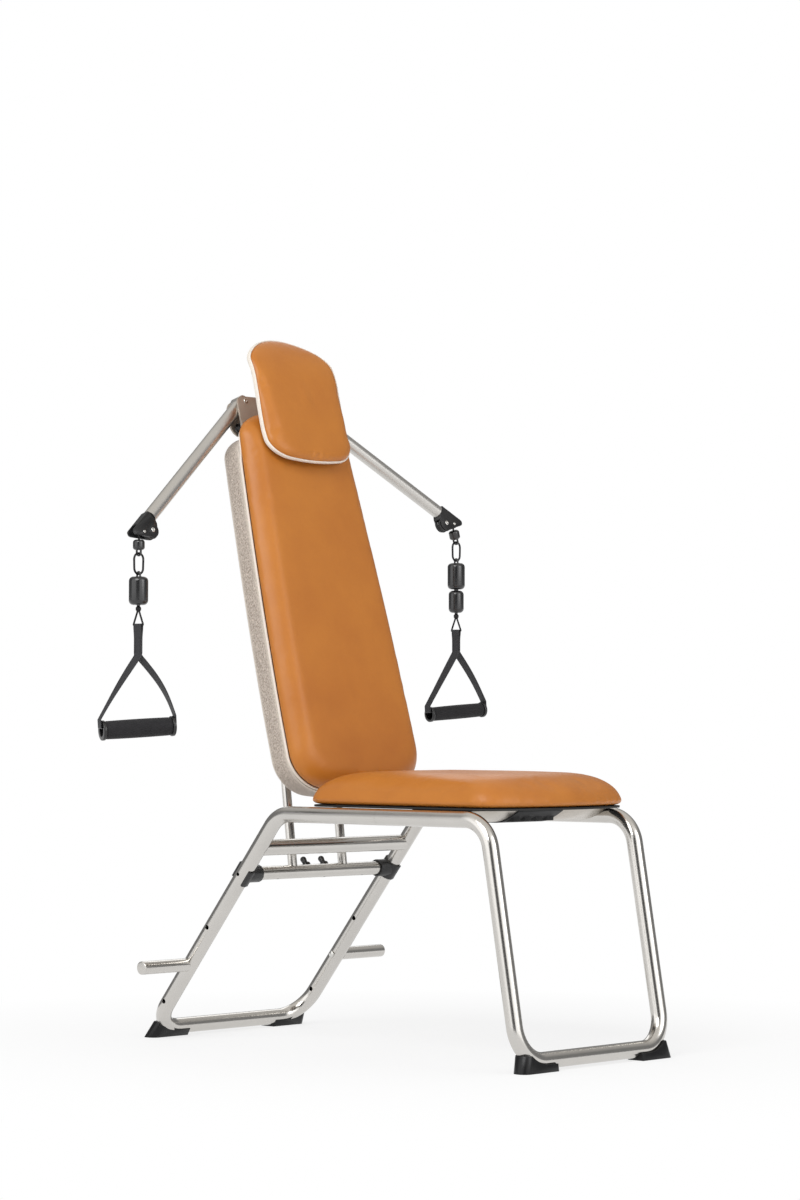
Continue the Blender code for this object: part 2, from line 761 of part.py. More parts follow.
def make_pegs():
    for side, name in ((-1, "peg_right"), (1, "peg_left")):
        centre = leg_point(PEG_SHARE, side)
        end = Vector((side * PEG_REACH, centre.y, centre.z))
        length = PEG_REACH - HALF_WIDTH
        profile = [(0, length / 2), (PEG_RADIUS - PEG_EDGE, length / 2),
                   (PEG_RADIUS, length / 2 - PEG_EDGE), (PEG_RADIUS, -length / 2), (0, -length / 2)]
        peg = turned(name, profile, ROOT, along(centre, end), STEEL)
        bottom = centre + Vector((side * (TUBE_RADIUS + PEG_BOLT_GRIP + GAP), 0, 0))
        cut(peg, drill(f"{name}_thread", PEG_BOLT_RADIUS + GAP, centre, bottom, ROOT, SMALL_SIDES),
            drill(f"{name}_cope", TUBE_RADIUS + GAP, leg_point(PEG_SHARE - PEG_COPE_SHARE, side),
                  leg_point(PEG_SHARE + PEG_COPE_SHARE, side), ROOT))


def make_feet():
    """Each foot fills the corner between the floor and the bend of a floor tube. Its top edge is
    hollow, round the bend's centre, and it leans with the leg."""
    centre = Vector((HALF_WIDTH - FLOOR_BEND, FLOOR_HEIGHT + FLOOR_BEND))
    low = math.asin((centre.y - FOOT_HEIGHT) / FOOT_LEDGE)
    hollow = arc(centre, FOOT_LEDGE, -low, -math.pi / 2, FOOT_STEPS)
    top = FOOT_OUTER - FOOT_SLANT
    outline = [(FOOT_INNER, 0), (FOOT_OUTER, 0), (top, FOOT_HEIGHT)] + hollow
    outline.append((FOOT_INNER, centre.y - FOOT_LEDGE))
    reach = FOOT_HALF_DEPTH
    nose = arc((-FOOT_NOSE, reach - FOOT_NOSE), FOOT_NOSE, math.pi / 2, 0, FOOT_STEPS)
    nose += [(x, -y) for x, y in reversed(nose)]
    spots = (("foot_front_right", -1, -HALF_DEPTH, FRONT_CORNER_Y),
             ("foot_front_left", 1, -HALF_DEPTH, FRONT_CORNER_Y),
             ("foot_rear_right", -1, HALF_DEPTH, REAR_CORNER_Y),
             ("foot_rear_left", 1, HALF_DEPTH, REAR_CORNER_Y))
    for name, side, floor_y, corner_y in spots:
        points = [(side * x, z) for x, z in outline]
        upright = Matrix.Translation((0, floor_y, 0)) @ Matrix.Rotation(math.pi / 2, 4, "X")
        foot = settle(plate(name, [points], 2 * reach, ROOT, upright, RUBBER), RUBBER)
        levels = ((-CUT_PAST, FOOT_OUTER + CUT_PAST * FOOT_SLANT / FOOT_HEIGHT),
                  (FOOT_HEIGHT + CUT_PAST, top - CUT_PAST * FOOT_SLANT / FOOT_HEIGHT))
        rings = []
        for z, outer in levels:
            inner = [(FOOT_INNER - CUT_PAST, -reach), (FOOT_INNER - CUT_PAST, reach)]
            ring = inner + [(outer + x, y) for x, y in nose]
            rings.append([(side * x, floor_y + y, z) for x, y in ring])
        middle = (FOOT_INNER + FOOT_OUTER) / 2
        tips = [(side * middle, floor_y, z) for z, _ in levels]
        add_boolean(foot, make_cutter(loft(f"{name}_plan", rings, ROOT, None, tips=tips)),
                    "INTERSECT")
        foot = settle(foot, RUBBER)
        slope = (floor_y - corner_y) / (RAIL_HEIGHT - FLOOR_HEIGHT) * FOOT_LEAN_SHARE
        origin = foot.matrix_world.copy()
        for vert in foot.data.vertices:
            spot = origin @ vert.co
            spot.y += (FLOOR_HEIGHT - spot.z) * slope
            vert.co = origin.inverted() @ spot
        route = frame_route(corner_y, floor_y, 0)
        seat = settle(wire(f"{name}_seat", route, TUBE_RADIUS + GAP, ROOT, None,
                           TUBE_BEVEL_RESOLUTION))
        cut(foot, seat)


def post_frame(side):
    """The post's own frame: its origin on the lower cross tube's axis, its Z up the post."""
    start = leg_point(LOWER_CROSS_SHARE)
    start.x = side * POST_HALF_SPACING
    return Matrix.Translation(start) @ Matrix.Rotation(-POST_LEAN, 4, "X")


def post_depth(height):
    """A post axis's depth behind the seam, at a height in the back's frame."""
    start = BACK_FRAME.inverted() @ leg_point(LOWER_CROSS_SHARE)
    return start.y - (height - start.z) * math.tan(BACK_LEAN - POST_LEAN)


def post_top():
    """The height in the back's frame where a post comes close to the shell."""
    start = BACK_FRAME.inverted() @ leg_point(LOWER_CROSS_SHARE)
    slope = math.tan(BACK_LEAN - POST_LEAN)
    return start.z + (start.y - SHELL_DEPTH - POST_RADIUS - POST_SPACE) / slope


def make_posts():
    start = BACK_FRAME.inverted() @ leg_point(LOWER_CROSS_SHARE)
    length = (post_top() - start.z) / math.cos(BACK_LEAN - POST_LEAN)
    for side, name in ((-1, "post_right"), (1, "post_left")):
        frame = post_frame(side)
        top = frame @ Vector((0, 0, length))
        post = rod(name, POST_RADIUS, frame.translation, top, ROOT, STEEL)
        bore = rod(f"{name}_bore", POST_RADIUS - POST_WALL, frame.translation,
                   frame @ Vector((0, 0, length + CUT_PAST)), ROOT)
        centre = leg_point(LOWER_CROSS_SHARE)
        reach = Vector((POST_HALF_SPACING + 3 * POST_RADIUS, 0, 0))
        cope = drill(f"{name}_cope", LOWER_CROSS_RADIUS + GAP, centre - reach, centre + reach,
                     ROOT)
        cut(post, bore, cope)


def make_post_bracket():
    """A plate on the shell's rear wall with four bored blocks that hold the two posts."""
    top = post_top() - POST_TOP_CLEAR
    face = SHELL_DEPTH + GAP
    half = POST_HALF_SPACING + CLAMP_HALF_WIDTH
    body = box("post_bracket", (-SPINE_HALF_WIDTH, face, CLAMP_LOW),
               (SPINE_HALF_WIDTH, face + CLAMP_PLATE, top), BACK, STEEL)
    for k, low in enumerate((CLAMP_LOW, top - CLAMP_HEIGHT)):
        high = low + CLAMP_HEIGHT
        join(body, box(f"post_plate_{k}", (-half, face, low), (half, face + CLAMP_PLATE, high), BACK))
        for side in (-1, 1):
            rear = post_depth(low) + POST_RADIUS + CLAMP_WALL
            left, right = sorted((side * half, side * (POST_HALF_SPACING - CLAMP_HALF_WIDTH)))
            join(body, box(f"post_block_{k}_{side}", (left, face, low), (right, rear, high), BACK))
    for side in (-1, 1):
        frame = post_frame(side)
        past = frame @ Vector((0, 0, 2 * SHELL_TOP))
        cut(body, drill(f"post_drill_{side}", POST_RADIUS + GAP, frame.translation, past, ROOT))


def make_band_anchors():
    """Two plastic pegs on the lower cross tube that hold exercise bands."""
    base = LOWER_CROSS_RADIUS - ANCHOR_COLLAR_HEIGHT
    collar = LOWER_CROSS_RADIUS + ANCHOR_COLLAR_HEIGHT
    tip = LOWER_CROSS_RADIUS + ANCHOR_LENGTH
    dome = arc((0, tip - ANCHOR_RADIUS), ANCHOR_RADIUS, math.pi / 2, 0, 4)
    profile = [(0, tip)] + dome[1:]
    profile += [(ANCHOR_WAIST, collar + ANCHOR_COLLAR_HEIGHT), (ANCHOR_COLLAR_RADIUS, collar),
                (ANCHOR_COLLAR_RADIUS, base), (0, base)]
    for side, name in ((-1, "band_anchor_right"), (1, "band_anchor_left")):
        start = leg_point(LOWER_CROSS_SHARE)
        start.x = side * ANCHOR_HALF_SPACING
        frame = Matrix.Translation(start) @ Matrix.Rotation(-ANCHOR_TILT, 4, "X")
        anchor = turned(name, profile, ROOT, frame, PLASTIC)
        reach = Vector((2 * ANCHOR_COLLAR_RADIUS, 0, 0))
        cut(anchor, drill(f"{name}_seat", LOWER_CROSS_RADIUS + GAP, start - reach, start + reach,
                          ROOT))


# Seat

def seat_outline():
    corner = (SEAT_FRONT_CORNER, SEAT_FRONT_CORNER + SEAT_FRONT_CROWN)
    rear_corner = (SEAT_REAR_CORNER, SEAT_REAR_CORNER + SEAT_REAR_CROWN)
    return soft_outline(lambda v: SEAT_HALF_WIDTH, SEAT_FRONT_Y, SEAT_REAR_Y, corner, rear_corner,
                        SEAT_FRONT_CROWN, SEAT_REAR_CROWN)


def make_seat():
    """The cushion takes the board in a recess in its underside."""
    outline = seat_outline()
    centre = Matrix.Translation((0, 0, SEAT_BOTTOM + BOARD_THICKNESS / 2))
    plate("seat_board", [inset(outline, BOARD_INSET)], BOARD_THICKNESS, ROOT, centre, BOARD)
    levels = [(0.0, SEAT_UNDERCUT), (SEAT_WIDEST / 4, SEAT_UNDERCUT / 3),
              (SEAT_WIDEST / 2, SEAT_UNDERCUT / 10), (SEAT_WIDEST, 0.0)]
    levels += shoulder(SEAT_WIDEST, SEAT_THICKNESS - CROWN_RISE, 0.0, SEAT_SHOULDER, 6)
    rings = [[(x, y, SEAT_BOTTOM + rise) for x, y in inset(outline, amount)]
             for rise, amount in levels]
    middle = (SEAT_FRONT_Y + SEAT_REAR_Y) / 2
    tips = ((0, middle, SEAT_BOTTOM), (0, middle, SEAT_BOTTOM + SEAT_THICKNESS))
    cushion = loft("seat_cushion", rings, ROOT, LEATHER, tips=tips)
    recess = plate("seat_recess", [inset(outline, BOARD_INSET - GAP)],
                   2 * (BOARD_THICKNESS + GAP), ROOT, Matrix.Translation((0, 0, SEAT_BOTTOM)))
    cut(cushion, settle(recess))


def sheet_height(y):
    """The carrier's profile: a lip that curves down from the board to a flat."""
    top = SEAT_BOTTOM - GAP - SHEET_THICKNESS / 2
    share = min(1.0, max(0.0, (y - SHEET_FRONT_Y) / SHEET_LIP_RUN))
    return top - SHEET_DROP * math.sin(share * math.pi / 2)


def curved_band(name, low_x, high_x, start_y, end_y, thickness, material):
    """A strip of the carrier's profile, swept across from low_x to high_x. The tops of thick and
    thin strips lie level."""
    lift = (SHEET_THICKNESS - thickness) / 2
    stops = [start_y + SHEET_LIP_RUN * i / LIP_STEPS for i in range(LIP_STEPS + 1)] + [end_y]
    rings = []
    for y in stops:
        z = sheet_height(y) + lift
        rings.append([(low_x, y, z - thickness / 2), (high_x, y, z - thickness / 2),
                      (high_x, y, z + thickness / 2), (low_x, y, z + thickness / 2)])
    middle = (low_x + high_x) / 2
    tips = ((middle, stops[0], sheet_height(stops[0]) + lift),
            (middle, stops[-1], sheet_height(stops[-1]) + lift))
    return loft(name, rings, ROOT, material, tips=tips)


def make_seat_carrier():
    drop = RAIL_HEIGHT - (sheet_height(SHEET_REAR_Y) + SHEET_THICKNESS / 2)
    reach = HALF_WIDTH - math.sqrt((TUBE_RADIUS + GAP) ** 2 - drop ** 2)
    for side, name in ((-1, "seat_plate_right"), (1, "seat_plate_left")):
        low, high = sorted((side * SHEET_INNER_X, side * reach))
        band = curved_band(name, low, high, SHEET_FRONT_Y, SHEET_REAR_Y, SHEET_THICKNESS,
                           SHEET)
        start = (side * HALF_WIDTH, SHEET_FRONT_Y - TUBE_RADIUS, RAIL_HEIGHT)
        end = (side * HALF_WIDTH, SHEET_REAR_Y + TUBE_RADIUS, RAIL_HEIGHT)
        cut(band, drill(f"{name}_rail", TUBE_RADIUS + GAP, start, end, ROOT))
    mat = curved_band("seat_webbing", -MAT_HALF_WIDTH, MAT_HALF_WIDTH, SHEET_FRONT_Y,
                      SHEET_REAR_Y, MAT_THICKNESS, RUBBER)
    pitch = 2 * MAT_HALF_WIDTH / MAT_BLOCKS
    wide = pitch * MAT_BLOCK_SHARE
    top = SEAT_BOTTOM - GAP
    run = (SHEET_REAR_Y - SHEET_FRONT_Y) / MAT_ROWS
    for row in range(MAT_ROWS):
        start = SHEET_FRONT_Y + run * (row + MAT_BLOCK_START)
        end = start + run * MAT_BLOCK_RUN
        for column in range(MAT_BLOCKS):
            x = -MAT_HALF_WIDTH + pitch * (column + 0.5)
            join(mat, box(f"mat_block_{row}_{column}", (x - wide / 2, start, sheet_height(end)),
                          (x + wide / 2, end, top), ROOT))
    slot = Vector((pitch * MAT_SLOT_SHARE / 2, MAT_SLOT_HALF, 2 * MAT_THICKNESS))
    for row in range(1, MAT_ROWS):
        y = SHEET_FRONT_Y + run * row
        for column in range(MAT_BLOCKS):
            spot = Vector((-MAT_HALF_WIDTH + pitch * (column + 0.5), y, sheet_height(y)))
            cut(mat, box(f"mat_slot_{row}_{column}", spot - slot, spot + slot, ROOT))


# Back

def back_side(v):
    """Half width of the back at a height: full near the seat, drawing in towards the top."""
    share = (BACK_TOP - v) / (BACK_TOP - BACK_WIDEST_Z)
    share = min(1.0, max(0.0, share))
    grown = 1 - (1 - share) ** BACK_TAPER_POWER
    return BACK_TOP_WIDTH + (BACK_WIDEST - BACK_TOP_WIDTH) * grown


def back_outline(low=BACK_BOTTOM, high=BACK_TOP):
    return soft_outline(back_side, low, high, BACK_BOTTOM_CORNER, BACK_TOP_CORNER,
                        BACK_BOTTOM_CROWN, BACK_TOP_CROWN)


def back_ring(outline, amount, depth):
    return [(x, depth, v) for x, v in inset(outline, amount)]


def pad_share(v):
    """The pad thins a little towards its top."""
    share = min(1.0, max(0.0, (v - BACK_BOTTOM) / (BACK_TOP - BACK_BOTTOM)))
    return 1 + (PAD_TOP_THICKNESS / PAD_THICKNESS - 1) * share


def make_back_pad():
    outline = back_outline()
    near, far = PAD_SEAM_DEPTHS
    levels = [(GAP, PIPING_SEAT), (near, PIPING_SEAT / 2), (far, 0.0), (PAD_WIDEST, -PAD_BULGE)]
    levels += shoulder(PAD_WIDEST, PAD_THICKNESS - PAD_CROWN, -PAD_BULGE, PAD_SHOULDER, 5)
    rings = []
    for depth, amount in levels:
        ring = inset(outline, amount)
        flat = depth <= GAP
        rings.append([(x, -depth * (1 if flat else pad_share(v)), v) for x, v in ring])
    middle = (BACK_BOTTOM + BACK_TOP) / 2
    tips = ((0, -GAP, middle), (0, -PAD_THICKNESS * pad_share(middle), middle))
    loft("back_pad", rings, BACK, LEATHER, tips=tips)
    wire("back_piping", [(x, 0, v) for x, v in back_outline()], PIPING_RADIUS, BACK, PIPING,
         resolution=1, closed=True)


def shell_rings(outline, wall, start):
    """The shell's sections from its open front to its rear, drawn in by a wall's thickness."""
    deep = SHELL_DEPTH - wall
    edge = SHELL_DEPTH - SHELL_EDGE
    levels = [(start, PIPING_SEAT), (SHELL_RIM, PIPING_SEAT), (edge, SHELL_FLARE)]
    levels += shoulder(edge, deep, SHELL_FLARE, SHELL_FLARE + SHELL_EDGE - wall, 4)
    return [back_ring(outline, amount + wall, depth) for depth, amount in levels]


def make_shell():
    """A felt shell, open towards the seam, with a notch in its top for the arm bracket."""
    outline = back_outline(SHELL_BOTTOM, SHELL_TOP)
    middle = (SHELL_BOTTOM + SHELL_TOP) / 2
    front = PIPING_RADIUS + GAP
    tips = ((0, front, middle), (0, SHELL_DEPTH, middle))
    shell = loft("back_shell", shell_rings(outline, 0.0, front), BACK, FELT, tips=tips)
    tips = ((0, -CUT_PAST, middle), (0, SHELL_DEPTH - SHELL_WALL, middle))
    hollow = loft("shell_hollow", shell_rings(outline, SHELL_WALL, -CUT_PAST), BACK, None, tips=tips)
    wide = BRACKET_HALF_WIDTH + GAP
    notch = box("bracket_notch", (-wide, -CUT_PAST, SHELL_NOTCH),
                (wide, BRACKET_REAR + BRACKET_PLATE + GAP, SHELL_TOP + CUT_PAST), BACK)
    cut(shell, hollow, notch)
    inner = PIPING_SEAT + SHELL_WALL + 2 * GAP
    face = Matrix.Translation((0, BACK_BOARD_THICKNESS / 2, 0)) @ Matrix.Rotation(math.pi / 2, 4, "X")
    plate("back_board", [inset(outline, inner)], BACK_BOARD_THICKNESS, BACK, face, BOARD)


def make_elastics():
    """Two elastic cords in the shell, their lower ends held by one bar on the board."""
    front = BACK_BOARD_THICKNESS + GAP
    half = ELASTIC_BAR / 2
    wide = PULLEY_X + half
    bar = box("elastic_cords", (-wide, front, ELASTIC_BOTTOM - half),
              (wide, ELASTIC_DEPTH + 2 * ELASTIC_RADIUS, ELASTIC_BOTTOM + half), BACK, CORD)
    top = PULLEY_Z - PULLEY_RADIUS - ELASTIC_RADIUS
    for side in (-1, 1):
        x = side * PULLEY_X
        join(bar, rod(f"elastic_{side}", ELASTIC_RADIUS, (x, ELASTIC_DEPTH, ELASTIC_BOTTOM),
                      (x, ELASTIC_DEPTH, top), BACK, sides=SMALL_SIDES))


def headrest_rear(v):
    """Depth of the headrest's rear face, a smooth curve through its stations."""
    stations = HEADREST_STATIONS
    v = min(stations[-1][0], max(stations[0][0], v))
    k = 0
    while k < len(stations) - 2 and v > stations[k + 1][0]:
        k += 1

    def slope(i):
        low = stations[max(0, i - 1)]
        high = stations[min(len(stations) - 1, i + 1)]
        return (high[1] - low[1]) / (high[0] - low[0])

    span = stations[k + 1][0] - stations[k][0]
    t = (v - stations[k][0]) / span
    start, end = stations[k][1], stations[k + 1][1]
    bend = (2 * t ** 3 - 3 * t ** 2 + 1) * start + (-2 * t ** 3 + 3 * t ** 2) * end
    lean = (t ** 3 - 2 * t ** 2 + t) * slope(k) + (t ** 3 - t ** 2) * slope(k + 1)
    return bend + span * lean


def headrest_thickness(v):
    """Thick where the neck rests, thin towards the top."""
    away = min(1.0, abs(v - HEADREST_THICK_Z) / HEADREST_THICK_SPAN)
    return HEADREST_THIN + (HEADREST_THICK - HEADREST_THIN) * (0.5 + 0.5 * math.cos(math.pi * away))


def make_headrest():
    outline = soft_outline(lambda v: HEADREST_HALF_WIDTH, HEADREST_BOTTOM, HEADREST_TOP,
                           HEADREST_BOTTOM_CORNER, HEADREST_TOP_CORNER, HEADREST_BOTTOM_CROWN,
                           HEADREST_TOP_CROWN)
    rings = []
    for amount in HEADREST_REAR_INSETS:
        rings.append([(x, headrest_rear(v), v) for x, v in inset(outline, amount)])
    for share, amount in HEADREST_LEVELS:
        ring = inset(outline, amount)
        rings.append([(x, headrest_rear(v) - share * headrest_thickness(v), v) for x, v in ring])
    middle = (HEADREST_BOTTOM + HEADREST_TOP) / 2
    front = headrest_rear(middle) - headrest_thickness(middle) - HEADREST_CROWN
    tips = ((0, headrest_rear(middle), middle), (0, front, middle))
    loft("headrest_pad", rings, BACK, LEATHER, tips=tips)
    route = [(x, headrest_rear(v) - HEADREST_PIPING_FORWARD, v) for x, v in outline]
    wire("headrest_piping", route, HEADREST_PIPING_RADIUS, BACK, PIPING, resolution=1, closed=True)


def make_headrest_mount():
    """A bent steel strip from the arm bracket's front plate over the pad to the headrest."""
    rise = BACK_TOP + MOUNT_OVER_PAD
    rear = BRACKET_FRONT - GAP
    front = headrest_rear(rise) + GAP
    half = MOUNT_HALF_WIDTH
    strip = box("headrest_mount", (-half, front, rise), (half, rear, rise + MOUNT_THICKNESS), BACK,
                STEEL)
    upright = box("mount_upright", (-half, front, rise), (half, front + MOUNT_THICKNESS, MOUNT_TOP),
                  BACK)
    flange = box("mount_flange", (-half, rear - MOUNT_THICKNESS, rise),
                 (half, rear, MOUNT_FLANGE_TOP), BACK)
    join(strip, upright, flange)


def make_bracket():
    """Two plates with a web between them, the arms' pivot pins and the pulleys' axles."""
    upright = Matrix.Rotation(math.pi / 2, 4, "X")
    wide = BRACKET_HALF_WIDTH
    front_outline = rounded_rectangle(-wide, wide, BRACKET_FRONT_BOTTOM, BRACKET_TOP, BRACKET_CORNER)
    rear_outline = rounded_rectangle(-wide, wide, BRACKET_REAR_BOTTOM, BRACKET_TOP,
                                     BRACKET_REAR_CORNER)
    face = Matrix.Translation((0, BRACKET_FRONT + BRACKET_PLATE / 2, 0)) @ upright
    bracket = settle(plate("arm_bracket", [front_outline], BRACKET_PLATE, BACK, face, SHEET), SHEET)
    face = Matrix.Translation((0, BRACKET_REAR + BRACKET_PLATE / 2, 0)) @ upright
    rear = settle(plate("bracket_rear", [rear_outline], BRACKET_PLATE, BACK, face))
    inside = BRACKET_FRONT + BRACKET_PLATE / 2
    outside = BRACKET_REAR + BRACKET_PLATE / 2
    web = box("bracket_web", (-BRACKET_WEB_HALF_WIDTH, inside, BRACKET_WEB_Z),
              (BRACKET_WEB_HALF_WIDTH, outside, BRACKET_WEB_Z + BRACKET_PLATE), BACK)
    join(bracket, rear, web)
    for side in (-1, 1):
        x = side * PIVOT_X
        join(bracket, rod(f"pivot_pin_{side}", PIVOT_PIN, (x, inside, PIVOT_Z),
                          (x, outside, PIVOT_Z), BACK, sides=SMALL_SIDES))
        x = side * PULLEY_X
        join(bracket, rod(f"pulley_axle_{side}", PULLEY_AXLE, (x, inside, PULLEY_Z),
                          (x, outside, PULLEY_Z), BACK, sides=SMALL_SIDES))


def grooved_wheel(name, radius, width, bore, groove, parent, matrix, material):
    """A wheel with a round groove in its rim, turned about its own Z."""
    half = width / 2
    top = half * GROOVE_TOP_SHARE
    floor = half * GROOVE_FLOOR_SHARE
    profile = [(radius, half), (radius, top), (radius - groove, floor), (radius - groove, -floor),
               (radius, -top), (radius, -half), (bore, -half), (bore, half)]
    return turned(name, profile, parent, matrix, material, ring=True)


# Arms

def arm_frame(side, degrees):
    """The arm's own frame: X along the arm, Z towards its inner lower side."""
    angle = math.radians(degrees)
    forward = Vector((side * math.sin(angle), 0, -math.cos(angle)))
    inner = Vector((-side * math.cos(angle), 0, -math.sin(angle)))
    across = inner.cross(forward)
    turn = Matrix((forward, across, inner)).transposed().to_4x4()
    return Matrix.Translation((side * PIVOT_X, ARM_DEPTH, PIVOT_Z)) @ turn


def cheek_outline():
    """The side view of an arm's head: straight outer side, round nose, bulge round the sheave."""
    sheave = Vector((SHEAVE_ALONG, SHEAVE_ACROSS))
    nose = Vector((NOSE_ALONG, NOSE_ACROSS))
    ahead = nose - sheave
    facing = math.atan2(ahead.y, ahead.x)
    turn = facing + math.acos((SHEAVE_CHEEK - NOSE_RADIUS) / ahead.length)
    rear = math.acos((ARM_LENGTH + GAP - SHEAVE_ALONG + ARM_ROOT_EDGE) / SHEAVE_CHEEK)
    points = [(ARM_LENGTH + GAP, NOSE_ACROSS - NOSE_RADIUS)]
    points += arc(nose, NOSE_RADIUS, -math.pi / 2, turn, NOSE_STEPS)
    points += arc(sheave, SHEAVE_CHEEK, turn, rear, CHEEK_STEPS)
    return points + [(ARM_LENGTH + GAP, ARM_RADIUS)]


def join_axle(head, name, radius, cap, where, across, front, parent):
    """An axle across the head, with a screw cap on its front cheek."""
    half = HEAD_HALF_THICKNESS
    inside = half - HEAD_CHEEK / 2
    axle = rod(name, radius, (where, -inside, across), (where, inside, across), parent,
               sides=FINE_SIDES)
    screw = rod(f"{name}_cap", cap, (where, front * inside, across),
                (where, front * (half + PIN_CAP_HEIGHT), across), parent, sides=FINE_SIDES)
    join(head, axle, screw)


def make_arm_tube(label, frame):
    tube = rod(f"arm_tube_{label}", ARM_RADIUS, (0, 0, 0), (ARM_LENGTH, 0, 0), frame, STEEL)
    boss = rod(f"arm_boss_{label}", ARM_BOSS, (0, -ARM_RADIUS, 0), (0, ARM_RADIUS, 0), frame,
               sides=FINE_SIDES)
    join(tube, boss)
    hole = drill(f"arm_pivot_hole_{label}", PIVOT_PIN + RUNNING_GAP, (0, -2 * ARM_RADIUS, 0),
                 (0, 2 * ARM_RADIUS, 0), frame)
    bore = rod(f"arm_bore_{label}", ARM_RADIUS - ARM_WALL, (ARM_ROOT, 0, 0),
               (ARM_LENGTH + CUT_PAST, 0, 0), frame)
    cut(tube, hole, bore)


def make_arm_head(label, frame, flat):
    """A head that plugs into the tube, hollow for its wheels, open at the nose and below."""
    head = settle(plate(f"arm_head_{label}", [cheek_outline()], 2 * HEAD_HALF_THICKNESS, frame,
                        flat, PLASTIC), PLASTIC)
    start = ARM_LENGTH + GAP
    far = NOSE_ALONG + 2 * NOSE_RADIUS
    wide = 2 * SHEAVE_CHEEK + SHEAVE_ACROSS
    profile = [(0, far), (wide, far), (wide, start + HEAD_ROOT_FLARE), (ARM_RADIUS, start),
               (0, start)]
    lie = Matrix.Rotation(math.pi / 2, 4, "Y")
    root = turned(f"arm_root_{label}", profile, frame, lie)
    add_boolean(head, make_cutter(root), "INTERSECT")
    plug = rod(f"arm_plug_{label}", ARM_RADIUS - ARM_WALL - 2 * GAP, (start - ARM_SPIGOT, 0, 0),
               (start + GAP, 0, 0), frame)
    join(head, plug)
    inner = HEAD_HALF_THICKNESS - HEAD_CHEEK
    outer_wall = NOSE_ACROSS - NOSE_RADIUS + HEAD_CHEEK
    slot = box(f"arm_slot_{label}", (start + SLOT_START, -inner, outer_wall),
               (far, inner, wide), frame)
    mouth = box(f"arm_mouth_{label}", (MOUTH_START, -inner, -wide),
                (far, inner, wide), frame)
    passage = rod(f"arm_passage_{label}", CORD_PASSAGE, (start - ARM_SPIGOT - CUT_PAST, 0, 0),
                  (start + SLOT_START + CUT_PAST, 0, 0), frame, sides=SMALL_SIDES)
    wheel_space = drill(f"arm_wheel_space_{label}", SHEAVE_RADIUS + SHEAVE_SPACE,
                        (SHEAVE_ALONG, -inner, SHEAVE_ACROSS),
                        (SHEAVE_ALONG, inner, SHEAVE_ACROSS), frame)
    return cut(head, slot, mouth, passage, wheel_space)


def make_arm(label, data):
    side = data["side"]
    frame = new_empty(f"arm_{label}_axis", BACK, arm_frame(side, data["arm"]))
    flat = Matrix.Rotation(math.pi / 2, 4, "X")
    make_arm_tube(label, frame)
    head = make_arm_head(label, frame, flat)
    spots = (("sheave", SHEAVE_ALONG, SHEAVE_ACROSS, SHEAVE_PIN, SHEAVE_PIN_CAP, SHEAVE_RADIUS,
              GROOVE_DEPTH),
             ("roller", ROLLER_ALONG, ROLLER_ACROSS, ROLLER_PIN, ROLLER_PIN_CAP, ROLLER_RADIUS,
              ROLLER_GROOVE))
    width = 2 * (HEAD_HALF_THICKNESS - HEAD_CHEEK) - 4 * GAP
    for kind, where, across, pin, cap, radius, groove in spots:
        join_axle(head, f"{kind}_axle_{label}", pin, cap, where, across, side, frame)
        axis = new_empty(f"{kind}_{label}_axis", frame, Matrix.Translation((where, 0, across)))
        grooved_wheel(f"{kind}_{label}", radius, width, pin + RUNNING_GAP, groove, axis, flat,
                      PLASTIC)
    pulley_axis = new_empty(f"bracket_pulley_{label}_axis", BACK,
                            Matrix.Translation((side * PULLEY_X, ARM_DEPTH, PULLEY_Z)))
    grooved_wheel(f"bracket_pulley_{label}", PULLEY_RADIUS, PULLEY_WIDTH,
                  PULLEY_AXLE + RUNNING_GAP, GROOVE_DEPTH, pulley_axis, flat, PLASTIC)
    return frame


# Chains and handles

def eye_route(half_width, leg):
    """A U of wire in the YZ plane, open at the top, its lowest point at z = -leg - half_width."""
    low = arc((0, -leg), half_width, math.pi, 2 * math.pi, WIRE_STEPS)
    return [(0, -half_width, 0)] + [(0, y, z) for y, z in low] + [(0, half_width, 0)]


def oval_route(width, height):
    """A closed oval in the XZ plane whose top lies at z = 0."""
    radius = width / 2
    top = arc((0, -radius), radius, 0, math.pi, WIRE_STEPS)
    low = arc((0, radius - height), radius, math.pi, 2 * math.pi, WIRE_STEPS)
    return [(x, 0, z) for x, z in top + low]


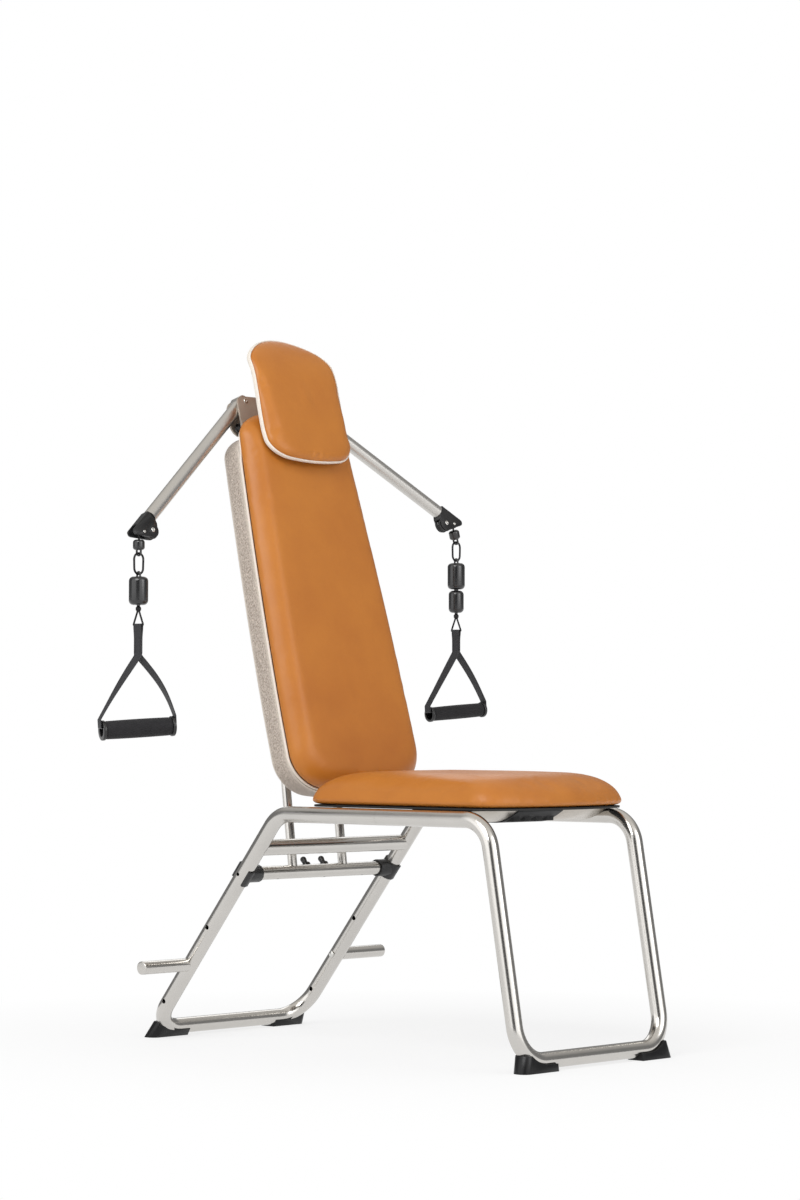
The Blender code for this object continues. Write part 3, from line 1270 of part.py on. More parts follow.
def make_ferrule(label, data, frame):
    """The pull cord's short free end, and the ferrule with the eye under it."""
    side = data["side"]
    bpy.context.view_layer.update()
    roller = frame.matrix_world @ Vector((ROLLER_ALONG, 0, ROLLER_ACROSS))
    roller = ROOT.matrix_world.inverted() @ roller
    tilt = math.radians(data["tilt"])
    turn = Matrix.Rotation(-side * tilt, 4, "Y")
    out = turn @ Vector((side * CORD_OFFSET, 0, 0))
    exit_frame = new_empty(f"pull_{label}_axis", ROOT, Matrix.Translation(roller + out) @ turn)
    top = -data["stub"]
    rod(f"pull_cord_{label}", CORD_RADIUS, (0, 0, top + GAP), (0, 0, 0), exit_frame, CORD,
        sides=SMALL_SIDES)
    low = top - FERRULE_LENGTH
    edge = FERRULE_EDGE
    profile = [(0, top), (FERRULE_RADIUS - edge, top), (FERRULE_RADIUS, top - edge),
               (FERRULE_RADIUS, low + 2 * edge), (FERRULE_RADIUS - 2 * edge, low), (0, low)]
    ferrule = turned(f"ferrule_{label}", profile, exit_frame, Matrix(), PLASTIC)
    lift = Matrix.Translation((0, 0, low + EYE_SINK))
    route = eye_route(EYE_HALF_WIDTH, EYE_LEG + EYE_SINK)
    eye = settle(wire(f"ferrule_eye_{label}", route, EYE_WIRE, exit_frame, matrix=lift))
    join(ferrule, eye)
    bpy.context.view_layer.update()
    contact = exit_frame.matrix_world @ Vector((0, 0, low - EYE_LEG - EYE_HALF_WIDTH))
    return ROOT.matrix_world.inverted() @ contact


def make_link(label, contact):
    """An oval link whose top wire rides on the ferrule's eye."""
    axis = new_empty(f"link_{label}_axis", ROOT, Matrix.Translation(contact))
    rise = EYE_WIRE + LINK_WIRE + GAP
    lift = Matrix.Translation((0, 0, rise))
    route = oval_route(LINK_WIDTH - 2 * LINK_WIRE, LINK_HEIGHT - 2 * LINK_WIRE)
    wire(f"link_{label}", route, LINK_WIRE, axis, BLACK_STEEL, closed=True, matrix=lift)
    return contact + Vector((0, 0, rise - LINK_HEIGHT + 2 * LINK_WIRE))


def make_barrel(label, data, contact):
    """One or two weights in a row, hung on the link by an eye that wraps its wire."""
    axis = new_empty(f"barrel_{label}_axis", ROOT, Matrix.Translation(contact))
    bend = LINK_WIRE + BARREL_EYE_WIRE + GAP
    profile = []
    z = -LINK_WIRE - BARREL_SPACE
    for k, (radius, height) in enumerate(data["barrels"]):
        if k == 0:
            profile.append((0, z))
        else:
            profile.append((BARREL_NECK, z + BARREL_SPACE))
            profile.append((BARREL_NECK, z))
        top = arc((radius - BARREL_EDGE, z - BARREL_EDGE), BARREL_EDGE, math.pi / 2, 0, 3)
        low = arc((radius - BARREL_EDGE, z - height + BARREL_EDGE), BARREL_EDGE, 0, -math.pi / 2, 3)
        profile += top + low
        z -= height + BARREL_SPACE
    bottom = z + BARREL_SPACE
    profile.append((0, bottom))
    barrel = turned(f"barrel_{label}", profile, axis, Matrix(), PLASTIC)
    route = [(0, y, -z) for _, y, z in eye_route(bend, 0.0)]
    depth = LINK_WIRE + BARREL_SPACE + 2 * EYE_SINK
    route = [(0, -bend, -depth)] + route[1:-1] + [(0, bend, -depth)]
    join(barrel, settle(wire(f"barrel_eye_{label}", route, BARREL_EYE_WIRE, axis)))
    return contact + Vector((0, 0, bottom))


def make_ring(label, contact):
    """A swivel under the barrel with a triangular ring for the strap."""
    turn = Matrix.Translation(contact) @ Matrix.Rotation(RING_YAW, 4, "Z")
    axis = new_empty(f"ring_{label}_axis", ROOT, turn)
    neck, upper, lower = SWIVEL_LEVELS
    profile = [(0, -GAP), (SWIVEL_WAIST, -GAP), (SWIVEL_WAIST, -neck), (SWIVEL_RADIUS, -upper),
               (SWIVEL_RADIUS, -lower), (SWIVEL_WAIST, -SWIVEL_HEIGHT), (0, -SWIVEL_HEIGHT)]
    ring = turned(f"ring_{label}", profile, axis, Matrix(), BLACK_STEEL, steps=SMALL_SIDES)
    top = -SWIVEL_HEIGHT + RING_WIRE
    low = top - RING_HEIGHT + RING_WIRE
    half = RING_HALF_WIDTH
    corner = RING_CORNER
    round_off = corner / 3
    route = [(RING_NECK, 0, top), (half, 0, low + corner), (half - round_off, 0, low + round_off),
             (half - corner, 0, low), (corner - half, 0, low), (round_off - half, 0, low + round_off),
             (-half, 0, low + corner), (-RING_NECK, 0, top)]
    join(ring, settle(wire(f"ring_wire_{label}", route, RING_WIRE, axis, closed=True)))
    return contact + Vector((0, 0, low))


def grip_point(data, apex, along_grip, rise):
    """A point of the tilted grip as (distance along the handle, height)."""
    tilt = math.radians(data["grip_tilt"])
    return Vector((along_grip * math.cos(tilt) - rise * math.sin(tilt),
                   apex - data["drop"] + along_grip * math.sin(tilt) + rise * math.cos(tilt)))


def strap_leg(name, sign, data, apex, axis, width_start, width_end, grip_dir):
    """One leg of the strap: it leaves the doubled part, turns flat and enters the grip's bore."""
    half = data["length"] / 2
    rise = STRAP_THICKNESS / 2
    bore = math.sqrt((CORE_BORE - GAP) ** 2 - STRAP_HALF_WIDTH ** 2) - rise - GAP
    outside = half + rise + GAP + LEG_STAND_OFF
    bow = data["bow"][(sign + 1) // 2]
    inside, edge = LEG_ROOT_SHARES
    begin = Vector((sign * rise * edge, apex + LEG_OVERLAP / 8))
    lip = grip_point(data, apex, sign * outside, data["flange"] + LEG_STAND_OFF)
    stops = [Vector((sign * rise * inside, apex + LEG_OVERLAP)), begin]
    for share in LEG_SHARES:
        out = Vector((sign * half * bow * math.sin(math.pi * share), 0))
        stops.append(begin.lerp(lip, share) + out)
    stops.append(lip)
    stops += [grip_point(data, apex, sign * s, w) for s, w in
              ((outside, bore + LEG_TURN), (half + rise, bore), (half - LEG_INSIDE, bore))]
    spots = [grip_dir * s + Vector((0, 0, z)) for s, z in stops]
    rings = []
    for i, spot in enumerate(spots):
        before = spots[max(0, i - 1)]
        after = spots[min(len(spots) - 1, i + 1)]
        tangent = (after - before).normalized()
        share = min(1.0, i / (len(LEG_SHARES) + 1))
        share = share * share * (3 - 2 * share)
        width = (width_start * (1 - share) + width_end * share).normalized()
        width = (width - tangent * width.dot(tangent)).normalized()
        thick = tangent.cross(width) * rise
        width = width * STRAP_HALF_WIDTH * (1 - LEG_NARROWING[sign] * (1 - share))
        rings.append([spot + width + thick, spot - width + thick, spot - width - thick,
                      spot + width - thick])
    return loft(name, rings, axis, None, tips=(spots[0], spots[-1]))


def make_handle(label, data, contact):
    """The strap round the ring's bar, the grip's core and the foam sleeve that turns on it."""
    axis = new_empty(f"handle_{label}_axis", ROOT, Matrix.Translation(contact))
    ring_dir = Vector((math.cos(RING_YAW), math.sin(RING_YAW), 0))
    loop = RING_WIRE + GAP
    outer = loop + STRAP_THICKNESS
    length = data["strap"]
    half = STRAP_THICKNESS
    spread = math.asin(half / outer)
    outline = arc((0, 0), outer, -math.pi / 2 + spread, 1.5 * math.pi - spread, LOOP_STEPS)
    outline += [(-half, -length), (half, -length)]
    bore = arc((0, 0), loop, 0, 2 * math.pi, LOOP_STEPS)[:-1]
    side_dir = Vector((0, 0, 1)).cross(ring_dir)
    turn = Matrix((side_dir, Vector((0, 0, 1)), ring_dir)).transposed().to_4x4()
    strap = settle(plate(f"strap_{label}", [outline, bore], 2 * STRAP_HALF_WIDTH, axis, turn,
                         WEBBING), WEBBING)
    yaw = math.radians(data["yaw"])
    grip_dir = Vector((math.cos(yaw), math.sin(yaw), 0))
    across = Vector((grip_dir.y, -grip_dir.x, 0))
    for sign in (-1, 1):
        leg = strap_leg(f"strap_leg_{label}_{sign}", sign, data, -length, axis, ring_dir, across,
                        grip_dir)
        join(strap, leg)
    centre = Vector((0, 0, -length - data["drop"]))
    tilt = math.radians(data["grip_tilt"])
    lie = grip_dir * math.cos(tilt) + Vector((0, 0, math.sin(tilt)))
    turn = Matrix.Translation(centre) @ lie.to_track_quat("Z", "Y").to_matrix().to_4x4()
    half = data["length"] / 2
    flange = data["flange"]
    step = half - CORE_FLANGE
    profile = [(flange - FLANGE_LIP, half), (flange, half - FLANGE_LIP), (flange, step),
               (CORE_RADIUS, step), (CORE_RADIUS, -step), (flange, -step),
               (flange, FLANGE_LIP - half), (flange - FLANGE_LIP, -half), (CORE_BORE, -half),
               (CORE_BORE, half)]
    turned(f"grip_core_{label}", profile, axis, turn, PLASTIC, ring=True)
    grip_axis = new_empty(f"grip_{label}_axis", axis, turn)
    reach = step - GAP
    foam = data["foam"]
    soft = FOAM_EDGE
    profile = [(foam - soft, reach), (foam, reach - soft), (foam, soft - reach),
               (foam - soft, -reach), (CORE_RADIUS + RUNNING_GAP, -reach),
               (CORE_RADIUS + RUNNING_GAP, reach)]
    turned(f"grip_{label}", profile, grip_axis, Matrix(), FOAM, ring=True)


def make_chain(label, data, frame):
    contact = make_ferrule(label, data, frame)
    contact = make_link(label, contact)
    contact = make_barrel(label, data, contact)
    contact = make_ring(label, contact)
    make_handle(label, data, contact)


clear_scene()
PARTS = new_collection("fitness_chair")
CUTTERS = new_collection("cutters")
STEEL = new_material("stainless_steel", (0.62, 0.60, 0.57), 0.28, 1.0)
SHEET = new_material("steel_sheet", (0.42, 0.41, 0.39), 0.35, 1.0)
BLACK_STEEL = new_material("blackened_steel", (0.02, 0.02, 0.02), 0.35, 0.8)
PLASTIC = new_material("black_plastic", (0.015, 0.015, 0.016), 0.42)
RUBBER = new_material("black_rubber", (0.018, 0.018, 0.018), 0.7)
BOARD = new_material("black_board", (0.01, 0.01, 0.01), 0.6)
LEATHER = new_material("tan_leather", (0.53, 0.22, 0.05), 0.42)
PIPING = new_material("pale_piping", (0.72, 0.66, 0.60), 0.8)
FELT = new_material("grey_felt", (0.42, 0.36, 0.31), 0.95)
CORD = new_material("black_cord", (0.02, 0.02, 0.02), 0.8)
WEBBING = new_material("black_webbing", (0.02, 0.02, 0.022), 0.8)
FOAM = new_material("black_foam", (0.012, 0.012, 0.013), 0.95)

ROOT = new_empty("fitness_chair_origin", None, Matrix.Translation((*CENTRE_SHIFT, 0)))
BACK_FRAME = Matrix.Translation((0, BACK_SEAM_Y, BACK_SEAM_Z)) @ Matrix.Rotation(-BACK_LEAN, 4, "X")
BACK = new_empty("back_frame", ROOT, BACK_FRAME)

make_frame()
cross_tube_end = make_cross_tubes()
make_saddles(cross_tube_end)
make_peg_bolts()
make_pegs()
make_feet()
make_posts()
make_post_bracket()
make_band_anchors()
make_seat()
make_seat_carrier()
make_back_pad()
make_shell()
make_elastics()
make_headrest()
make_headrest_mount()
make_bracket()
for side_label, side_data in SIDES.items():
    make_chain(side_label, side_data, make_arm(side_label, side_data))
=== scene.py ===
"""Fitness chair: the looks of its pieces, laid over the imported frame.

Metres, +Z up. The chair faces -Y, and +X is its occupant's left. Sizes repeat those of the part's
source, which this file can't read.
"""
import math

import bmesh
import bpy
import numpy as np
from mathutils import Matrix, Vector


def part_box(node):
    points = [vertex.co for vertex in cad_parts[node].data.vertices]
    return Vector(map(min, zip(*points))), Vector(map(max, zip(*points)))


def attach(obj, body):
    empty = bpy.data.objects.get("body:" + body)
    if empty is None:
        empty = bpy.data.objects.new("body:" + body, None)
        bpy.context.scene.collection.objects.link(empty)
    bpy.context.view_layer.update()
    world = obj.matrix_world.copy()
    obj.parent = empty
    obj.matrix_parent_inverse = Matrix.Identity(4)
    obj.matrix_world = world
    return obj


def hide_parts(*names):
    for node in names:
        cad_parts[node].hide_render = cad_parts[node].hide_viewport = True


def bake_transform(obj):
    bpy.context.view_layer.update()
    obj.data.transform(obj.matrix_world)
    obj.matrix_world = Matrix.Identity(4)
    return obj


bl_info = {
    "name": "Fitness chair looks",
    "version": (1, 0, 0),
    "blender": (4, 5, 0),
    "location": "3D View > Sidebar > Chair",
    "description": "Builds the visible pieces of a fitness chair over its packed frame",
    "category": "Object",
}

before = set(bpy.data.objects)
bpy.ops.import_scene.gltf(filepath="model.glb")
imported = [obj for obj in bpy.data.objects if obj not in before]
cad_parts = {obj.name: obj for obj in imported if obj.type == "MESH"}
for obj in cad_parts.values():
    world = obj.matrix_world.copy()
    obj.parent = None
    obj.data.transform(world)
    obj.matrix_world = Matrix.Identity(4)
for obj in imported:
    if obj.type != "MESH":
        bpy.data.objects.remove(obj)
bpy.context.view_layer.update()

# Sides of round sections
TUBE_SIDES = 40
BROAD_SIDES = 48
BARREL_SIDES = 56
SLIM_SIDES = 32
SCREW_SIDES = 24
CORD_SIDES = 20
WIRE_SIDES = 16

# Clearances and placing
GAP = 0.0003                         # between pieces that touch
SHIFT = np.array([-0.0275, -0.0042, 0.0])

# Tube frame
HALF_WIDTH = 0.202
HALF_DEPTH = 0.466
RAIL_HEIGHT = 0.438
FLOOR_HEIGHT = 0.019
FRONT_CORNER_Y = -0.3915
REAR_CORNER_Y = 0.1268
RAIL_BEND = 0.060
FLOOR_BEND = 0.062
TUBE_WALL = 0.002
UPPER_CROSS_SHARE = 0.154
LOWER_CROSS_SHARE = 0.274
LOWER_CROSS_RADIUS = 0.013
LOWER_CROSS_END = 0.1797
LOWER_CROSS_WALL = 0.0015
PEG_SHARE = 0.697
PEG_RADIUS = 0.0125
PEG_REACH = 0.330
PEG_ROUNDING = 0.0018
PEG_CENTRE_MARK = ((0.0022, -0.0), (0.0018, -0.0006))
LEG_HOLES = ((0.52, 0.0045), (0.87, 0.0045), (PEG_SHARE, 0.0045), (LOWER_CROSS_SHARE, 0.0035))
HOLE_OVERSHOOT = 0.004
CROSS_HOLES = (-0.115, 0.012, 0.118)
CROSS_HOLE_RADIUS = 0.0022
CROSS_HOLE_AIM = (0, 0.35 * 0.02, 0.02)
POST_RADIUS = 0.009
POST_WALL = 0.0015
POST_HALF_SPACING = 0.069
POST_LEAN = math.radians(7.0)
ANCHOR_HALF_SPACING = 0.0245
ANCHOR_TILT = math.radians(38)
ANCHOR_RADIUS = 0.006
ANCHOR_DOME = 0.027                  # height where the head's dome begins
ANCHOR_BODY = ((ANCHOR_RADIUS, ANCHOR_DOME), (0.005, 0.0205), (0.0062, 0.0168),
               (0.0085, 0.0162), (0.0085, 0.0128))
ANCHOR_ROUNDING = 0.0008

# Seat
SEAT_HALF_WIDTH = 0.205
SEAT_FRONT_Y = -0.431
SEAT_REAR_Y = 0.074
SEAT_BOTTOM = 0.4533
SEAT_THICKNESS = 0.067
SEAT_WIDEST = 0.016
SEAT_SHOULDER = 0.098
SEAT_CROWN_RISE = 0.003
SEAT_CROWN_INSETS = (0.12, 0.14, 0.16, 0.18)
SEAT_FRONT_CORNER = (0.050, 0.072)
SEAT_REAR_CORNER = (0.035, 0.040)
SEAT_FRONT_CROWN = 0.022
SEAT_REAR_CROWN = 0.005
SEAT_EDGE = ((0.0, 0.030), (0.0, 0.012), (0.001, 0.006), (0.004, 0.002), (0.008, 0.0004))
BOARD_SPACE = 0.0044                 # the board fills this much under the cushion

# Back, in its own leaning frame: y is depth behind the seam, z runs up the back
BACK_LEAN = math.radians(15.24)
BACK_SEAM = (0.0, 0.1306, 0.519)
BACK_BOTTOM = -0.0466
BACK_TOP = 0.7203
BACK_WIDEST_Z = 0.080
BACK_WIDEST = 0.1715
BACK_TOP_WIDTH = 0.139
BACK_TAPER_POWER = 1.6
PAD_THICKNESS = 0.045
PAD_TOP_THICKNESS = 0.040
PAD_BULGE = 0.003
PAD_WIDEST = 0.014
PAD_SHOULDER = 0.040
PIPING_RADIUS = 0.0025
PIPING_SEAT = 0.0048
PIPING_LOOK = 0.0023                 # the cord as it shows, half sunk between pad and shell
PIPING_TUCK = 0.0026
PIPING_FORWARD = 0.0014
PIPING_TOP_TUCK = (0.61, 0.06, 0.006)  # from this height, over this rise, it sinks this deep
PAD_REST = 0.0006                    # the pad's rear face, in front of the seam
PAD_EDGE = ((PAD_REST, 0.030), (PAD_REST, PIPING_SEAT + 0.003), (0.0012, PIPING_SEAT),
            (0.004, PIPING_SEAT / 2), (0.0065, 0.0010), (0.009, 0.0), (PAD_WIDEST, -PAD_BULGE))
PAD_CROWN_RISE = 0.002
PAD_CROWN_INSETS = (0.055, 0.075, 0.10, 0.125)
BACK_LOW_CORNER = (0.070, 0.072)
BACK_TOP_CORNER = (0.060, 0.050)
BACK_LOW_CROWN = 0.006
BACK_TOP_CROWN = 0.008
SHELL_TOP = 0.693
SHELL_BOTTOM = -0.052
SHELL_NOTCH = 0.660
SHELL_DEPTH = 0.056
SHELL_WALL = 0.004
SHELL_FLARE = 0.006
SHELL_EDGE = 0.018
SHELL_RIM = 0.010
SHELL_CROWN_INSETS = (0.05, 0.08, 0.11)
SHELL_RIM_HIGHLIGHT = (0.012, 0.008)      # the painted highlight along the rim ends here, over this width
SHELL_FOLD_HIGHLIGHT = (0.047, 0.006)     # a painted highlight along the fold to the rear face
NOTCH_HALF_WIDTH = 0.115
NOTCH_DEPTHS = (-0.02, 0.0412)
NOTCH_TOP = 0.72
ELASTIC_RADIUS = 0.005
ELASTIC_DEPTH = 0.024
ELASTIC_BOTTOM = 0.040
ELASTIC_STEP = 0.01
ELASTIC_BAR = ((-0.106, 0.0063), (0.106, 0.0063), (0.106, 0.034), (-0.106, 0.034))
ELASTIC_BAR_HEIGHTS = (0.032, 0.048)
ELASTIC_BAR_ROUNDING = 0.003

# Headrest
HEADREST_HALF_WIDTH = 0.115
HEADREST_BOTTOM = 0.600
HEADREST_TOP = 0.869
HEADREST_STATIONS = np.array([
    (0.600, -0.057), (0.630, -0.047), (0.662, -0.0414), (0.705, -0.0416),
    (0.745, -0.0434), (0.790, -0.0430), (0.835, -0.0310), (0.869, -0.0100)])
HEADREST_THICK = 0.029
HEADREST_THIN = 0.017
HEADREST_THICK_Z = 0.672
HEADREST_THICK_SPAN = 0.130
HEADREST_LOW_CORNER = (0.046, 0.046)
HEADREST_TOP_CORNER = (0.056, 0.060)
HEADREST_LOW_CROWN = 0.005
HEADREST_TOP_CROWN = 0.012
HEADREST_REAR_INSETS = (0.100, 0.085, 0.055, 0.025, 0.010)
HEADREST_WIDEST_SHARE = 0.33         # of the thickness
HEADREST_TIP_SHARE = 1.024           # where the front's crown ends, just past its last ring
BAND_INSET = 0.0016
BAND_DEPTH = 0.0040
BAND_SECTION = (0.0022, 0.0048)
# Shares of the thickness, and how far the outline is drawn in at each
HEADREST_LEVELS = ((0.0, 0.0045), (0.06, 0.0031), (0.15, 0.0018), (0.24, 0.0006), (0.33, 0.0),
                   (0.46, 0.0008), (0.6, 0.003), (0.72, 0.0068), (0.82, 0.012), (0.90, 0.020),
                   (0.95, 0.028), (0.985, 0.040), (1.0, 0.055), (1.012, 0.075), (1.02, 0.095))

# Arm bracket and pulleys
BRACKET_FRONT = 0.0063
BRACKET_PLATE = 0.004
PIVOT = (0.092, 0.7444)
PULLEY = (0.098, 0.6944)
PULLEY_RADIUS = 0.011
PULLEY_WIDTH = 0.018
ARM_DEPTH = 0.0236
BRACKET_REAR = 0.0369

# Arms, in their own frame: x along the arm
ARM_RADIUS = 0.013
ARM_WALL = 0.0015
ARM_LENGTH = 0.388
ARM_START = 0.012
ARM_MIDDLE = 0.1
ARM_BOSS = 0.0135
HEAD_HALF_THICKNESS = 0.0095
SHEAVE = (0.4105, 0.0175)
SHEAVE_RADIUS = 0.0163
ROLLER = (0.431, 0.0065)
ROLLER_RADIUS = 0.0042
WHEEL_WIDTH = 0.0118
SHEAVE_BORE = 0.0035
ROLLER_BORE = 0.0021
PULLEY_BORE = 0.0025
CAP_LEVEL = 0.0107                   # front of the moulded caps on a head
SHEAVE_GROOVE = 0.003
ROLLER_GROOVE = 0.001
WHEEL_PLAY = 0.0002
WHEEL_LIP = 0.0008
WHEEL_LIP_SHARE = 0.12               # of the radius, at most
WHEEL_WEB_SHARES = (0.62, 0.66)      # of the radius, where the web steps down to the rim
GROOVE_SHARE = 0.62                  # of the width
BOSS_BORE = 0.0048
BOSS_ROUNDING = 0.0015
SHEAVE_SCREW = 0.0046
ROLLER_SCREW = 0.0030
HEAD_SCREW_HEIGHT = 0.0013
SCREW_SHAPE = ((1.0, 0.0), (1.0, 0.4), (0.8, 1.0), (0.45, 1.0), (0.45, 0.2), (0.0, 0.2))
SCREW_ROUNDING = 0.1                 # of the radius
BRACKET_SCREW = 0.0048
BRACKET_SCREW_HEIGHT = 0.0016

# Chains
CORD_RADIUS = 0.0018
CORD_OFFSET = 0.005
STUB = 0.0122
FERRULE_RADIUS = 0.011
FERRULE_LENGTH = 0.0195
FERRULE_MOUTH = 0.0026
FERRULE_NECK_SHARE = 0.72            # of the radius
FERRULE_SLOPE = 0.0035
FERRULE_FOOT = 0.003
FERRULE_ROUNDING = 0.0018
FERRULE_DISH = 0.001
EYE_WIRE = 0.002
EYE_HALF_WIDTH = 0.0055
EYE_LEG = 0.0045
EYE_SINK = 0.001
LINK_WIRE = 0.002
LINK_WIDTH = 0.027
LINK_HEIGHT = 0.043
LINK_LOW_RADIUS = 0.0111
LINK_LOW_SPARE = 0.1                 # of a radian left off each end of the low arc
LINK_ROUNDING = 0.004
BARREL_EYE_WIRE = 0.0018
BARREL_EDGE = 0.0085
BARREL_NECK = 0.0045
BARREL_SPACE = 0.0025
SWIVEL_RADIUS = 0.0052
SWIVEL_WAIST = 0.0032
SWIVEL_HEIGHT = 0.0125
SWIVEL_LEVELS = (-0.003, -0.0045, -0.009)
SWIVEL_ROUNDING = 0.0012
RING_WIRE = 0.0018
RING_HEIGHT = 0.029
RING_HALF_WIDTH = 0.0121
RING_TOP_HALF_WIDTH = 0.0016
RING_ROUNDING = 0.0034
RING_YAW = math.radians(-82)

# Handles
STRAP_HALF_WIDTH = 0.0095
STRAP_THICKNESS = 0.0014
STRAP_DRAW_IN = 2.2                  # the legs lie together from 1 / 2.2 of the way down
LEG_STAND_OFF = 0.0015
LEG_TURN = 0.002
LEG_INSIDE = 0.016
CORE_RADIUS = 0.0120
CORE_BORE = 0.0110
CORE_FLANGE = 0.006
CORE_ROUNDING = 0.0013
CORE_CHAMFER = 0.001
FOAM_CROWN = 0.0006
FOAM_ROUNDING = 0.0012
FOAM_CLEARANCE = 0.0005
STRAP_SEAM = 0.0001                  # half the gap where the strap lies double
STITCH_THREAD = 0.0003
STITCH_ROW = 0.0062
STITCH_PITCH = 0.0042
STITCH_LENGTH = 0.003
STITCH_START = -0.010
STITCH_MARGIN = 0.012

SIDES = {
    "right": {"side": -1, "arm": 50.2, "tilt": 0.0, "barrels": ((0.018, 0.053),),
              "strap": 0.0566, "drop": 0.134, "yaw": -23.4, "grip_tilt": 3.5, "bow": (0.03, 0.13),
              "length": 0.142, "foam": 0.0175, "flange": 0.0188},
    "left": {"side": 1, "arm": 59.7, "tilt": 17.0, "barrels": ((0.0178, 0.0545), (0.0155, 0.046)),
             "strap": 0.0435, "drop": 0.123, "yaw": -9.9, "grip_tilt": 4.3, "bow": (0.0, 0.06),
             "length": 0.142, "foam": 0.0145, "flange": 0.0157},
}

# Camera, fitted to the photograph's view
CAMERA_YAW = math.radians(47.164)
CAMERA_PITCH = math.radians(-3.371)
CAMERA_ROLL = math.radians(0.112)
CAMERA_PLACE = (-4.49534, -4.14117, 0.61211)
CAMERA_LENS = 96.377
CAMERA_SENSOR = 36.0
CAMERA_SHIFT = (-0.00018, -0.0569)

# What the tubes mirror: places from behind the chair (0) to the photographer (1), and their greys
STUDIO_WALLS = ((0.0, 0.15), (0.52, 0.15), (0.64, 1.0), (0.95, 1.0), (0.985, 0.05), (1.0, 0.05))
GAP_TURN = math.radians(-4)
CEILING_GREY = (0.50, 0.485, 0.46, 1)
CEILING_FADE = {"From Min": 0.4, "From Max": 0.9}
STUDIO_STRENGTH = 1.6

# Square lamps: size and place. The rear one has a share of the fill light's power.
LAMPS = {"key_light": (2.6, (-3.4, -1.2, 3.3)), "fill_light": (2.2, (0.6, -4.2, 2.2)),
         "rear_light": (2.0, (2.6, 2.8, 2.6))}
REAR_SHARE = 0.45
LAMP_AIM = (0, 0, 0.6)

# The floor, a paper grey. To the camera it has a share of plain white, which grows with distance.
FLOOR_RADII = (0.2, 1.0, 3.0, 12.0, 60.0)
FLOOR_SIDES = 64
FLOOR_FADE = {"From Min": 0.5, "From Max": 1.3, "To Min": 0.72, "To Max": 1.0}
PAPER_GREY = (0.88, 0.88, 0.88, 1)

# Covers. Each starts a little smaller and swells out again. Nearer to the face it rests on than the
# first number of its hold it stays put, and over the second it comes free.
SEAT_SHRINK = 0.004
SEAT_VOXEL = 0.006
SEAT_HOLD = (0.002, 0.020)
PAD_SHRINK = 0.003
PAD_VOXEL = 0.005
PAD_HOLD = (0.008, 0.020)
PAD_SWELL_SHARE = 0.8
HEADREST_SHRINK = 0.0015
HEADREST_VOXEL = 0.003
HEADREST_HOLD = (0.004, 0.008)
HEADREST_SWELL_SHARE = 0.4
RELAX_STEPS = 10
CLOTH_PRESSURE = 4.0
CLOTH_FRAMES = 20

# Finishes
CLOUD_SIZE = 0.06                    # of the broad clouds in a grained finish
GRAIN_SHARE = 0.35                   # of the grain in those clouds
BAND_CYCLE = 0.314                   # of its coordinate, one cycle of a band wave at scale 1

SMOOTH_ANGLE = math.radians(35)
EDGE_ANGLE = math.radians(40)
FLAT_ANGLE = math.radians(1)
MERGE_DISTANCE = 0.00001

# Widths of the rounded edges on CAD nodes that show as they are
EDGES = {"peg_bolt": 0.0005, "foot_front": 0.0012, "foot_rear": 0.0012, "saddle": 0.0007,
         "post_bracket": 0.0008, "seat_board": 0.0008, "seat_plate": 0.0003,
         "seat_webbing": 0.0006, "back_board": 0.0008, "headrest_mount": 0.0008,
         "arm_bracket": 0.0006, "arm_head": 0.0006}


# Settings

class FrameSettings(bpy.types.PropertyGroup):
    tube_radius: bpy.props.FloatProperty(
        name="Tube radius", description="Radius of the bent tubes that make the two loops",
        default=0.015, min=0.010, max=0.020, subtype="DISTANCE", unit="LENGTH")
    steel: bpy.props.FloatVectorProperty(
        name="Steel", description="Colour of the satin steel tubes", subtype="COLOR", size=3,
        default=(0.62, 0.60, 0.57), min=0.0, max=1.0)


class UpholsterySettings(bpy.types.PropertyGroup):
    leather: bpy.props.StringProperty(
        name="Leather", description="Hex colour of the covers in full light", default="BF772C")
    leather_deep: bpy.props.StringProperty(
        name="Leather, deep", description="Hex colour in the leather's darker clouds",
        default="B66E28")
    felt_light: bpy.props.StringProperty(
        name="Felt, light fibres", description="Hex colour of the felt's pale fibres",
        default="D3C6BA")
    felt_dark: bpy.props.StringProperty(
        name="Felt, dark fibres", description="Hex colour of the felt's dark fibres",
        default="85786D")
    swell: bpy.props.FloatProperty(
        name="Swell", description="How far the stuffing may push a cover out", default=0.005,
        min=0.0, max=0.02, subtype="DISTANCE", unit="LENGTH")


class HandleSettings(bpy.types.PropertyGroup):
    webbing: bpy.props.StringProperty(
        name="Webbing", description="Hex colour of the handle straps", default="3E3E41")
    foam: bpy.props.StringProperty(
        name="Foam", description="Hex colour of the grips", default="2A292B")


class StageSettings(bpy.types.PropertyGroup):
    world: bpy.props.FloatProperty(
        name="Sky", description="Strength of the even light from all round", default=0.62,
        min=0.0, max=2.0)
    key: bpy.props.FloatProperty(
        name="Key light", description="Power of the large soft light", default=105.0, min=0.0,
        max=500.0, subtype="POWER")
    fill: bpy.props.FloatProperty(
        name="Fill light", description="Power of the second soft light", default=35.0, min=0.0,
        max=500.0, subtype="POWER")


# Shapes, worked out as whole arrays

def unit(vectors):
    """Vectors divided by their lengths."""
    vectors = np.asarray(vectors, float)
    return vectors / np.linalg.norm(vectors, axis=-1, keepdims=True)


def placed(points, matrix):
    """Points carried by a 4 x 4 matrix."""
    matrix = np.array(matrix, float)
    return np.asarray(points, float) @ matrix[:3, :3].T + matrix[:3, 3]


def lerp(start, end, share):
    """A share of the way from start to end."""
    return start + (end - start) * share


def ease(share):
    """Zero to one with level ends: 3 s squared less 2 s cubed."""
    share = np.clip(share, 0.0, 1.0)
    return share * share * (3 - 2 * share)


